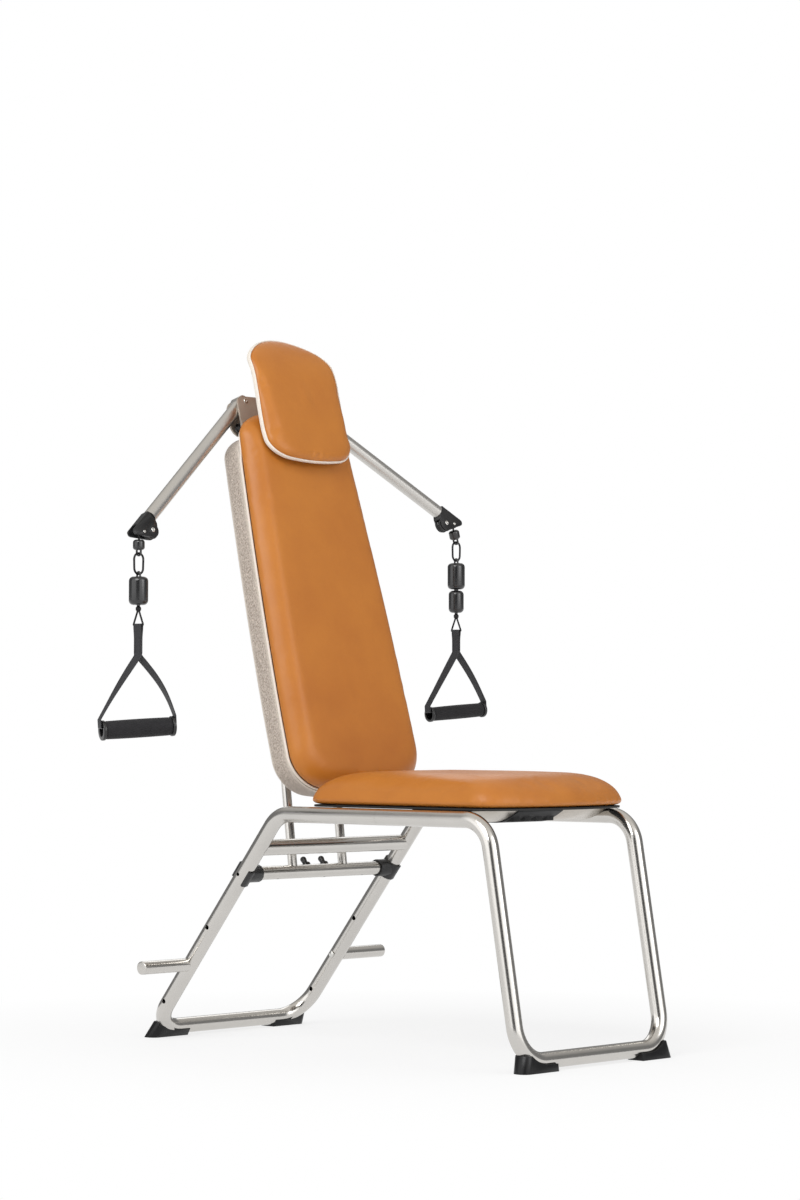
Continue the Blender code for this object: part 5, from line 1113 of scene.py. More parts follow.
def at(origin, yaw=0.0):
    """A frame at a point, turned about Z."""
    c, s = math.cos(yaw), math.sin(yaw)
    return axes_matrix((c, s, 0), (-s, c, 0), (0, 0, 1), origin)


# Soft forms

def eased_cover(item, voxel, limit, hold):
    """Evens out a cover's skin with a voxel remesh, then lets cloth pressure push it out. A point
    moves at most the limit, times what hold gives for its place, from 0 where it rests."""
    remesh = item.modifiers.new("Skin", "REMESH")
    remesh.mode = "VOXEL"
    remesh.voxel_size = voxel
    settle(item)
    relax = item.modifiers.new("Relax", "SMOOTH")
    relax.factor = 0.5
    relax.iterations = RELAX_STEPS
    settle(item)
    count = len(item.data.vertices)
    rest = np.empty(count * 3)
    item.data.vertices.foreach_get("co", rest)
    rest = rest.reshape(-1, 3)
    cloth = item.modifiers.new("Pressure", "CLOTH")
    cloth.settings.use_pressure = True
    cloth.settings.uniform_pressure_force = CLOTH_PRESSURE
    cloth.settings.effector_weights.gravity = 0.0
    cloth.settings.quality = 5
    scene = bpy.context.scene
    for number in range(1, CLOTH_FRAMES + 1):
        scene.frame_set(number)
    depsgraph = bpy.context.evaluated_depsgraph_get()
    moved = np.empty(count * 3)
    item.evaluated_get(depsgraph).data.vertices.foreach_get("co", moved)
    item.modifiers.clear()
    scene.frame_set(1)
    move = moved.reshape(-1, 3) - rest
    length = np.maximum(np.linalg.norm(move, axis=1, keepdims=True), 1e-9)
    move *= np.minimum(1.0, limit / length) * hold(rest)[:, None]
    item.data.vertices.foreach_set("co", (rest + move).ravel())
    finer = item.modifiers.new("Finer", "SUBSURF")
    finer.levels = 1
    finer.render_levels = 1
    return settle(item)


def seat_outline():
    """The cushion's outline from above: straight sides and bowed ends."""
    return soft_outline(lambda v: np.full(np.shape(v), SEAT_HALF_WIDTH), SEAT_FRONT_Y, SEAT_REAR_Y,
                        SEAT_FRONT_CORNER, SEAT_REAR_CORNER, SEAT_FRONT_CROWN, SEAT_REAR_CROWN)


def back_side(v):
    """Half width of the back: full near the seat, drawing in towards the top by a power."""
    share = np.clip((BACK_TOP - v) / (BACK_TOP - BACK_WIDEST_Z), 0.0, 1.0)
    return BACK_TOP_WIDTH + (BACK_WIDEST - BACK_TOP_WIDTH) * (1 - (1 - share) ** BACK_TAPER_POWER)


def back_outline(low=BACK_BOTTOM, high=BACK_TOP):
    """The back's outline from the front, between two heights."""
    return soft_outline(back_side, low, high, BACK_LOW_CORNER, BACK_TOP_CORNER, BACK_LOW_CROWN,
                        BACK_TOP_CROWN)


def upright(outline, depth):
    """A ring in the back's frame from an outline and its depth behind the seam."""
    depth = np.broadcast_to(depth, len(outline))
    return np.stack([outline[:, 0], depth, outline[:, 1]], 1)


def headrest_rear(v):
    """Depth of the headrest's rear face, a smooth curve through its stations: a cubic between
    each two, with slopes from their neighbours."""
    at_v, depth = HEADREST_STATIONS.T
    v = np.clip(v, at_v[0], at_v[-1])
    slopes = np.empty(len(at_v))
    slopes[1:-1] = (depth[2:] - depth[:-2]) / (at_v[2:] - at_v[:-2])
    slopes[0] = (depth[1] - depth[0]) / (at_v[1] - at_v[0])
    slopes[-1] = (depth[-1] - depth[-2]) / (at_v[-1] - at_v[-2])
    k = np.clip(np.searchsorted(at_v, v) - 1, 0, len(at_v) - 2)
    span = at_v[k + 1] - at_v[k]
    t = (v - at_v[k]) / span
    bend = (2 * t ** 3 - 3 * t ** 2 + 1) * depth[k] + (-2 * t ** 3 + 3 * t ** 2) * depth[k + 1]
    return bend + span * ((t ** 3 - 2 * t ** 2 + t) * slopes[k] + (t ** 3 - t ** 2) * slopes[k + 1])


def headrest_thickness(v):
    """Thick where the neck rests, thin towards the top, as half a cosine wave."""
    away = np.clip(np.abs(v - HEADREST_THICK_Z) / HEADREST_THICK_SPAN, 0.0, 1.0)
    return HEADREST_THIN + (HEADREST_THICK - HEADREST_THIN) * (0.5 + 0.5 * np.cos(math.pi * away))


def headrest_outline():
    """The headrest's outline from the front: straight sides and bowed ends."""
    return soft_outline(lambda v: np.full(np.shape(v), HEADREST_HALF_WIDTH), HEADREST_BOTTOM,
                        HEADREST_TOP, HEADREST_LOW_CORNER, HEADREST_TOP_CORNER,
                        HEADREST_LOW_CROWN, HEADREST_TOP_CROWN)


# Operators

class CHAIR_OT_frame(bpy.types.Operator):
    """Builds the two bent loops, the cross tubes and the pegs"""
    bl_idname = "chair.frame"
    bl_label = "Tube frame"

    def execute(self, context):
        radius = context.scene.chair_frame.tube_radius
        steel = finishes(context)["steel"]
        split_y = (FRONT_CORNER_Y + REAR_CORNER_Y) / 2
        loops = (("front_loop", FRONT_CORNER_Y, -HALF_DEPTH, split_y - GAP / 2),
                 ("rear_loop", REAR_CORNER_Y, HALF_DEPTH, split_y + GAP / 2))
        for name, corner_y, floor_y, end_y in loops:
            half = [(HALF_WIDTH, floor_y, FLOOR_HEIGHT), (HALF_WIDTH, corner_y, RAIL_HEIGHT),
                    (HALF_WIDTH, end_y, RAIL_HEIGHT)]
            corners = [(-x, y, z) for x, y, z in half[::-1]] + half
            radii = (0, RAIL_BEND, FLOOR_BEND, FLOOR_BEND, RAIL_BEND, 0)
            route = bent_route(corners, radii) + SHIFT
            tube = pipe(name, route, radius, TUBE_WALL, TUBE_SIDES, (1, 1, 0))
            loop = show(name, tube)
            if name == "rear_loop":
                reach = np.array([radius + HOLE_OVERSHOOT, 0, 0])
                cutters = []
                for share, hole in LEG_HOLES:
                    for side in (-1, 1):
                        centre = leg_point(share, side)
                        cutters.append(rod("hole", centre - reach, centre + reach, hole,
                                           SCREW_SIDES))
                drilled(loop, cutters)
            piece(f"{name}_tube", loop, steel, "chair", [name])
        self.cross_tubes(steel, radius)
        self.pegs(context, steel, radius)
        return {"FINISHED"}

    def coped(self, x, centre, radius, reach, sign):
        """A ring on a tube that runs along X, whose x follows a leg's skin: the leg's radius
        squared less the ring point's squared distance from the leg's middle plane."""
        ring = circle(radius, BROAD_SIDES)
        leg = leg_direction()
        away = ring[:, 0] * leg[2] - ring[:, 1] * leg[1]
        depth = np.sqrt(np.maximum(reach ** 2 - away ** 2, 0.0))
        return np.stack([x + sign * depth, centre[1] + ring[:, 0], centre[2] + ring[:, 1]], 1)

    def cross_tubes(self, steel, radius):
        """The upper cross tube, coped on both legs, and the lower one, a pipe with three holes."""
        centre = leg_point(UPPER_CROSS_SHARE)
        reach = radius + GAP
        left = self.coped(SHIFT[0] - HALF_WIDTH, centre, radius, reach, 1)
        right = self.coped(SHIFT[0] + HALF_WIDTH, centre, radius, reach, -1)
        rings = np.stack([left, (left + right) / 2, right])
        rings[1, :, 0] = SHIFT[0]
        piece("upper_cross", build("upper_cross", rings), steel, "chair",
              ["upper_cross_tube"])
        centre = leg_point(LOWER_CROSS_SHARE)
        end = np.array([LOWER_CROSS_END, 0, 0])
        tube = pipe("lower_cross", np.array([centre - end, centre, centre + end]),
                    LOWER_CROSS_RADIUS, LOWER_CROSS_WALL, BROAD_SIDES, (0, 1, 0))
        item = show("lower_cross", tube)
        cutters = []
        for x in CROSS_HOLES:
            spot = centre + (x, 0, 0)
            cutters.append(rod("hole", spot, spot - CROSS_HOLE_AIM, CROSS_HOLE_RADIUS,
                               WIRE_SIDES))
        drilled(item, cutters)
        piece("lower_cross", item, steel, "chair", ["lower_cross_tube"])

    def pegs(self, context, steel, radius):
        """Bars coped on the legs, whose outer ends are rounded and have a centre mark."""
        for label, data in SIDES.items():
            side = data["side"]
            centre = leg_point(PEG_SHARE, side)
            start = self.coped(centre[0], centre, PEG_RADIUS, radius + GAP, side)
            rings = [start]
            edge = rounded([(PEG_RADIUS, -0.02), (PEG_RADIUS, 0), (0.0, 0)], PEG_ROUNDING, 5)
            edge = np.concatenate([edge[:-1], PEG_CENTRE_MARK])
            ring = circle(1.0, BROAD_SIDES)
            for r, x in edge:
                spot = SHIFT[0] + side * (PEG_REACH + x)
                rings.append(np.stack([np.full(BROAD_SIDES, spot), centre[1] + ring[:, 0] * r,
                                       centre[2] + ring[:, 1] * r], 1))
            piece(f"peg_{label}_bar", build("peg", np.stack(rings)), steel, "chair",
                  [f"peg_{label}"])
            node_piece(f"peg_screw_{label}", f"peg_bolt_{label}", finishes(context)["screw"])


class CHAIR_OT_fittings(bpy.types.Operator):
    """Builds the feet, saddles, posts, post bracket and band anchors"""
    bl_idname = "chair.fittings"
    bl_label = "Feet, saddles and posts"

    def execute(self, context):
        looks = finishes(context)
        for corner in ("front_right", "front_left", "rear_right", "rear_left"):
            node = f"foot_{corner}"
            node_piece(f"{node}_rubber", node, looks["foot"])
        for label, data in SIDES.items():
            node = f"saddle_{label}"
            node_piece(f"{node}_clip", node, looks["nylon"])
            self.post(looks["steel"], label, data["side"])
            self.anchor(looks["gloss"], label, data["side"])
        node_piece("post_clamp", "post_bracket", looks["sheet"])
        return {"FINISHED"}

    def post(self, steel, label, side):
        """A tube coped on the cross tube: where its skin is off the middle plane by n, it starts
        at the root of the cross tube's radius squared less n squared."""
        start = leg_point(LOWER_CROSS_SHARE)
        matrix = leaning(start - SHIFT + (side * POST_HALF_SPACING, 0, 0), POST_LEAN)
        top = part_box(f"post_{label}")[1][2]
        length = (top - start[2]) / math.cos(POST_LEAN)
        length -= POST_RADIUS * math.tan(POST_LEAN)
        outer = circle(POST_RADIUS, SLIM_SIDES)
        inner = circle(POST_RADIUS - POST_WALL, SLIM_SIDES)
        reach = LOWER_CROSS_RADIUS + GAP
        rings = []
        for section, ends in ((outer, (0, 1)), (inner, (1, 0))):
            foot = np.sqrt(reach ** 2 - section[:, 1] ** 2)
            for end in ends:
                height = np.full(SLIM_SIDES, length) if end else foot
                rings.append(np.column_stack([section, height]))
        piece(f"post_{label}_tube", build("post", placed(np.stack(rings), matrix), loop=True),
              steel, "chair", [f"post_{label}"])

    def anchor(self, gloss, label, side):
        """A waisted peg with a round head, turned, whose foot follows the cross tube's skin."""
        start = leg_point(LOWER_CROSS_SHARE) - SHIFT
        matrix = leaning(start + (side * ANCHOR_HALF_SPACING, 0, 0), ANCHOR_TILT)
        dome = arc((0, ANCHOR_DOME), ANCHOR_RADIUS, math.pi / 2, 0, 8)[1:]
        body = rounded(ANCHOR_BODY, ANCHOR_ROUNDING, 3)
        rings = turned(np.concatenate([dome, body]), SLIM_SIDES)
        last = rings[-1]
        last[:, 2] = np.sqrt((LOWER_CROSS_RADIUS + GAP) ** 2 - last[:, 1] ** 2)
        tip = placed([0, 0, ANCHOR_DOME + ANCHOR_RADIUS], matrix)
        piece(f"band_anchor_{label}_peg", build("anchor", placed(rings, matrix), poles=(tip, None)),
              gloss, "chair", [f"band_anchor_{label}"])


class CHAIR_OT_seat(bpy.types.Operator):
    """Builds the seat cushion, its board, the curved sheets and the rubber mat"""
    bl_idname = "chair.seat"
    bl_label = "Seat"

    def execute(self, context):
        looks = finishes(context)
        swell = context.scene.chair_upholstery.swell
        outline = seat_outline()
        lowest = SEAT_BOTTOM + BOARD_SPACE
        levels = [(lowest + lift, drawn) for lift, drawn in SEAT_EDGE]
        levels.append((SEAT_BOTTOM + SEAT_WIDEST, 0))
        rise = SEAT_THICKNESS - SEAT_CROWN_RISE - SEAT_WIDEST
        angle = np.linspace(0, math.pi / 2, 15)[1:]
        for height, drawn in zip(rise * np.sin(angle), SEAT_SHOULDER * (1 - np.cos(angle))):
            levels.append((SEAT_BOTTOM + SEAT_WIDEST + height, drawn))
        for drawn in SEAT_CROWN_INSETS:
            share = (drawn - SEAT_SHOULDER) / (SEAT_HALF_WIDTH - SEAT_SHOULDER)
            crown = SEAT_CROWN_RISE * (1 - (1 - share) ** 2)
            levels.append((SEAT_BOTTOM + SEAT_THICKNESS - SEAT_CROWN_RISE + crown, drawn))
        shrink = SEAT_SHRINK
        rings = []
        for height, drawn in levels:
            ring = inset(outline, drawn + shrink)
            share = (height - lowest) / (SEAT_THICKNESS - BOARD_SPACE)
            rings.append(np.column_stack([ring, np.full(len(ring), height - share * shrink)]))
        middle = (SEAT_FRONT_Y + SEAT_REAR_Y) / 2
        top = SEAT_BOTTOM + SEAT_THICKNESS - shrink
        poles = (np.array([0, middle, lowest]) + SHIFT, np.array([0, middle, top]) + SHIFT)
        cover = show("seat_cover", build("seat_cover", np.stack(rings) + SHIFT, poles=poles))
        eased_cover(cover, SEAT_VOXEL, swell,
                    lambda p: ease((p[:, 2] - lowest - SEAT_HOLD[0]) / SEAT_HOLD[1]))
        piece("seat_cover", cover, looks["leather"], "chair", ["seat_cushion"])
        node_piece("seat_base_board", "seat_board", looks["board"])
        for label in SIDES:
            node_piece(f"seat_sheet_{label}", f"seat_plate_{label}", looks["sheet"])
        node_piece("seat_mat", "seat_webbing", looks["mat"])
        return {"FINISHED"}


class CHAIR_OT_back(bpy.types.Operator):
    """Builds the back's cover, piping, felt shell, board and the cords inside"""
    bl_idname = "chair.back"
    bl_label = "Back"

    def execute(self, context):
        looks = finishes(context)
        self.pad(context, looks["leather"])
        self.piping(looks["tape"])
        self.shell(looks["felt"])
        node_piece("back_stiffener", "back_board", looks["board"])
        self.elastics(looks["cord"])
        return {"FINISHED"}

    def pad(self, context, leather):
        """Rings of the outline from the rear face round the widest line to the crown: depth goes
        by the sine of an angle and the inset by one less its cosine. It thins towards the top."""
        outline = back_outline()
        start = PAD_SHRINK
        levels = list(PAD_EDGE)
        angle = np.linspace(0, math.pi / 2, 13)[1:]
        deep = PAD_THICKNESS - PAD_CROWN_RISE
        for share, drawn in zip(np.sin(angle), 1 - np.cos(angle)):
            levels.append((PAD_WIDEST + (deep - PAD_WIDEST) * share,
                           -PAD_BULGE + (PAD_SHOULDER + PAD_BULGE) * drawn))
        for drawn in PAD_CROWN_INSETS:
            share = (drawn - PAD_SHOULDER) / (BACK_TOP_WIDTH - PAD_SHOULDER)
            levels.append((deep + PAD_CROWN_RISE * (1 - (1 - share) ** 2), drawn))
        rings = []
        for depth, drawn in levels:
            ring = inset(outline, drawn + start * min(1.0, depth / PAD_WIDEST))
            share = np.clip((ring[:, 1] - BACK_BOTTOM) / (BACK_TOP - BACK_BOTTOM), 0, 1)
            thin = 1 + (PAD_TOP_THICKNESS / PAD_THICKNESS - 1) * share
            reach = depth - start * depth / PAD_THICKNESS
            rings.append(upright(ring, -reach * (thin if depth > 0.001 else 1.0)))
        middle = (BACK_BOTTOM + BACK_TOP) / 2
        front = -(PAD_THICKNESS - start) * (1 + PAD_TOP_THICKNESS / PAD_THICKNESS) / 2
        poles = (placed([0, -PAD_REST, middle], BACK), placed([0, front, middle], BACK))
        cover = show("back_cover", build("back_cover", placed(np.stack(rings), BACK), poles=poles))
        depth_axis, seam = BACK[:3, 1], BACK[:3, 3]
        eased_cover(cover, PAD_VOXEL, context.scene.chair_upholstery.swell * PAD_SWELL_SHARE,
                    lambda p: ease((-(p - seam) @ depth_axis - PAD_HOLD[0]) / PAD_HOLD[1]))
        piece("back_cover", cover, leather, "chair", ["back_pad"])

    def piping(self, tape):
        """A round cord round the outline, which sinks deeper in towards the top."""
        outline = back_outline()
        start, rise, deep = PIPING_TOP_TUCK
        tucked = PIPING_TUCK + deep * ease((outline[:, 1] - start) / rise)
        path = placed(upright(inset(outline, tucked[:, None]), -PIPING_FORWARD), BACK)
        cord = wire("piping", path, PIPING_LOOK, BACK[:3, 1], loop=True, sides=CORD_SIDES)
        piece("back_seam_piping", cord, tape, "chair", ["back_piping"])

    def shell(self, felt):
        """The shell's skin runs from the middle of its inner rear wall out to the rim and back
        over the outside to the middle again."""
        outline = back_outline(SHELL_BOTTOM, SHELL_TOP)
        edge = SHELL_DEPTH - SHELL_EDGE
        angle = np.linspace(0, math.pi / 2, 11)[1:]
        walls = []
        for wall in (0.0, SHELL_WALL):
            levels = [(PIPING_RADIUS + GAP, PIPING_SEAT), (SHELL_RIM, PIPING_SEAT)]
            for share in (0.25, 0.5, 0.75, 1.0):
                levels.append((lerp(SHELL_RIM, edge, share),
                               lerp(PIPING_SEAT, SHELL_FLARE, share)))
            for share, drawn in zip(np.sin(angle), 1 - np.cos(angle)):
                levels.append((edge + (SHELL_EDGE - wall) * share,
                               SHELL_FLARE + (SHELL_EDGE - wall) * drawn))
            for drawn in SHELL_CROWN_INSETS:
                levels.append((SHELL_DEPTH - wall, drawn))
            walls.append([(depth, drawn + wall) for depth, drawn in levels])
        order = walls[1][::-1] + walls[0]
        rings = np.stack([upright(inset(outline, drawn), depth) for depth, drawn in order])
        # A painted highlight: paler cream along the front rim and along the fold, kept in the rim
        # attribute
        rim_highlights = np.array([ease((SHELL_RIM_HIGHLIGHT[0] - depth) / SHELL_RIM_HIGHLIGHT[1])
                         + 0.8 * ease(1 - abs(depth - SHELL_FOLD_HIGHLIGHT[0]) / SHELL_FOLD_HIGHLIGHT[1])
                         for depth, drawn in order])
        middle = (SHELL_BOTTOM + SHELL_TOP) / 2
        poles = (placed([0, SHELL_DEPTH - SHELL_WALL, middle], BACK),
                 placed([0, SHELL_DEPTH, middle], BACK))
        mesh = build("back_felt", placed(rings, BACK), poles=poles)
        rim = mesh.attributes.new("rim", "FLOAT", "POINT")
        values = np.append(np.repeat(np.minimum(rim_highlights, 0.75), len(outline)), (0.0, 0.0))
        rim.data.foreach_set("value", values.astype(np.float32))
        item = show("back_felt", mesh)
        half = NOTCH_HALF_WIDTH + GAP
        near, far = NOTCH_DEPTHS
        low = np.array([(-half, near), (half, near), (half, far), (-half, far)])
        block = np.stack([np.column_stack([low, np.full(4, z)]) for z in (SHELL_NOTCH, NOTCH_TOP)])
        drilled(item, [build("notch", placed(block, BACK))])
        piece("back_felt", item, felt, "chair", ["back_shell"])

    def elastics(self, cord):
        """Two straight cords up the inside of the shell, and the bar that holds them."""
        parts = []
        length = PULLEY[1] - PULLEY_RADIUS - ELASTIC_RADIUS - ELASTIC_BOTTOM
        steps = range(int(length / ELASTIC_STEP) + 1)
        for side in (-1, 1):
            path = placed([(side * PULLEY[0], ELASTIC_DEPTH, ELASTIC_BOTTOM + ELASTIC_STEP * k)
                           for k in steps], BACK)
            parts.append(wire("elastic", path, ELASTIC_RADIUS, BACK[:3, 1],
                              sides=CORD_SIDES))
        section = rounded(ELASTIC_BAR, ELASTIC_BAR_ROUNDING, 3, loop=True)
        bar = np.stack([np.column_stack([section, np.full(len(section), z)])
                        for z in ELASTIC_BAR_HEIGHTS])
        parts.append(build("bar", placed(bar, BACK)))
        piece("elastic_pair", merged("elastic_pair", parts), cord, "chair",
              ["elastic_cords"])


class CHAIR_OT_headrest(bpy.types.Operator):
    """Builds the headrest's cover, its woven band and the strip that carries it"""
    bl_idname = "chair.headrest"
    bl_label = "Headrest"

    def execute(self, context):
        looks = finishes(context)
        outline = headrest_outline()
        start = HEADREST_SHRINK
        rings = []
        for drawn in HEADREST_REAR_INSETS:
            ring = inset(outline, drawn)
            rings.append(upright(ring, headrest_rear(ring[:, 1]) - GAP))
        for share, drawn in HEADREST_LEVELS:
            ring = inset(outline, drawn + start * min(1.0, share / HEADREST_WIDEST_SHARE))
            thick = share * (headrest_thickness(ring[:, 1]) - start)
            rings.append(upright(ring, headrest_rear(ring[:, 1]) - GAP - thick))
        middle = (HEADREST_BOTTOM + HEADREST_TOP) / 2
        rear = float(headrest_rear(middle))
        front = rear - float(headrest_thickness(middle)) * HEADREST_TIP_SHARE
        poles = (placed([0, rear - GAP, middle], BACK), placed([0, front, middle], BACK))
        cover = show("headrest_cover",
                     build("headrest_cover", placed(np.stack(rings), BACK), poles=poles))

        def hold(points):
            local = (points - BACK[:3, 3]) @ BACK[:3, :3]
            off = headrest_rear(local[:, 2]) - local[:, 1]
            return ease((off - HEADREST_HOLD[0]) / HEADREST_HOLD[1])

        eased_cover(cover, HEADREST_VOXEL,
                    context.scene.chair_upholstery.swell * HEADREST_SWELL_SHARE, hold)
        piece("headrest_cover", cover, looks["leather"], "chair", ["headrest_pad"])
        self.band(outline, looks["tape"])
        node_piece("headrest_strip", "headrest_mount", looks["sheet"])
        return {"FINISHED"}

    def band(self, outline, tape):
        """A woven band round the headrest's rear edge: a rounded section that stands along the
        depth, carried round the outline."""
        ring = inset(outline, BAND_INSET)
        path = placed(upright(ring, headrest_rear(ring[:, 1]) - BAND_DEPTH), BACK)
        section = circle(1.0, CORD_SIDES) * BAND_SECTION
        rings = carried(section, path, np.cross(tangents(path, True), BACK[:3, 1]), loop=True)
        piece("headrest_band", build("headrest_band", rings, loop=True), tape, "chair",
              ["headrest_piping"])


class CHAIR_OT_arms(bpy.types.Operator):
    """Builds the arm bracket, the two arms with their heads and all the pulleys"""
    bl_idname = "chair.arms"
    bl_label = "Arms and pulleys"

    def execute(self, context):
        looks = finishes(context)
        node_piece("arm_bracket_plates", "arm_bracket", looks["plate"])
        self.bracket_screws(looks["screw"])
        for label, data in SIDES.items():
            matrix = arm_matrix(data)
            self.tube(looks["brushed"], label, matrix)
            node_piece(f"arm_head_{label}_shell", f"arm_head_{label}", looks["nylon"],
                       f"arm_{label}")
            self.screws(looks["screw"], label, data, matrix)
            wheels = (("sheave", SHEAVE, SHEAVE_RADIUS, SHEAVE_BORE, SHEAVE_GROOVE),
                      ("roller", ROLLER, ROLLER_RADIUS, ROLLER_BORE, ROLLER_GROOVE))
            for kind, spot, radius, bore, groove in wheels:
                self.wheel(looks["gloss"], f"{kind}_{label}", radius, WHEEL_WIDTH, bore, groove,
                           matrix @ lie_across(*spot))
            place = lie_across(data["side"] * PULLEY[0], PULLEY[1])
            place[1, 3] = ARM_DEPTH
            self.wheel(looks["gloss"], f"bracket_pulley_{label}", PULLEY_RADIUS, PULLEY_WIDTH,
                       PULLEY_BORE, SHEAVE_GROOVE, BACK @ place)
        return {"FINISHED"}

    def wheel(self, gloss, node, radius, width, bore, groove, matrix):
        """A wheel whose rim holds a round groove between two lips."""
        half = width / 2
        angle = np.linspace(0, math.pi, 11)
        floor = np.stack([radius - groove * np.sin(angle), half * GROOVE_SHARE * np.cos(angle)], 1)
        lip = min(WHEEL_LIP, radius * WHEEL_LIP_SHARE)
        web, rim = (radius * share for share in WHEEL_WEB_SHARES)
        sides = [(bore + WHEEL_PLAY, half), (web, half), (rim, half - lip / 2),
                 (radius - 1.5 * lip, half - lip / 2), (radius - lip, half), (radius, half - lip)]
        lower = [(r, -z) for r, z in sides[::-1]]
        profile = np.concatenate([sides, floor, lower])
        piece(f"{node}_wheel", lathe(node, profile, BROAD_SIDES, matrix), gloss, node,
              [node])

    def tube(self, steel, label, matrix):
        """The arm's straight tube, and the round boss across it that turns on the pivot."""
        path = placed([(ARM_START, 0, 0), (ARM_MIDDLE, 0, 0), (ARM_LENGTH, 0, 0)], matrix)
        parts = [pipe("arm", path, ARM_RADIUS, ARM_WALL, TUBE_SIDES, matrix[:3, 1])]
        half = ARM_RADIUS
        profile = rounded([(BOSS_BORE, half), (ARM_BOSS, half), (ARM_BOSS, -half),
                           (BOSS_BORE, -half)], BOSS_ROUNDING, 4, loop=True)
        lie = matrix @ lie_across(0, 0)
        parts.append(lathe("boss", profile, TUBE_SIDES, lie))
        piece(f"arm_{label}_steel", merged("arm", parts), steel, f"arm_{label}",
              [f"arm_tube_{label}"])

    def screw_head(self, radius, height, matrix):
        """A domed screw head with a round socket, standing on a plane."""
        profile = rounded([(radius * out, height * up) for out, up in SCREW_SHAPE],
                          radius * SCREW_ROUNDING, 3)[:-1]
        return lathe("screw", profile, SCREW_SIDES, matrix, (0.0, height * SCREW_SHAPE[-1][1]))

    def screws(self, bright, label, data, matrix):
        """A screw on each face of a head for the sheave's axle and one for the roller's."""
        front = data["side"]
        parts = []
        for (x, z), radius in ((SHEAVE, SHEAVE_SCREW), (ROLLER, ROLLER_SCREW)):
            for face, level in ((front, CAP_LEVEL), (-front, HEAD_HALF_THICKNESS)):
                place = axes_matrix((1, 0, 0), (0, 0, -face), (0, face, 0), (x, face * level, z))
                parts.append(self.screw_head(radius, HEAD_SCREW_HEIGHT, matrix @ place))
        piece(f"arm_{label}_screws", merged("screws", parts), bright, f"arm_{label}")

    def bracket_screws(self, bright):
        """Screws on the bracket's plates for the arms' pivots and, behind, the pulleys' axles."""
        parts = []
        rear = BRACKET_REAR + BRACKET_PLATE
        spots = ((PIVOT, BRACKET_FRONT, -1), (PIVOT, rear, 1), (PULLEY, rear, 1))
        for side in (-1, 1):
            for (x, z), y, face in spots:
                place = axes_matrix((1, 0, 0), (0, 0, -face), (0, face, 0), (side * x, y, z))
                parts.append(self.screw_head(BRACKET_SCREW, BRACKET_SCREW_HEIGHT, BACK @ place))
        piece("bracket_screws", merged("screws", parts), bright, "chair")


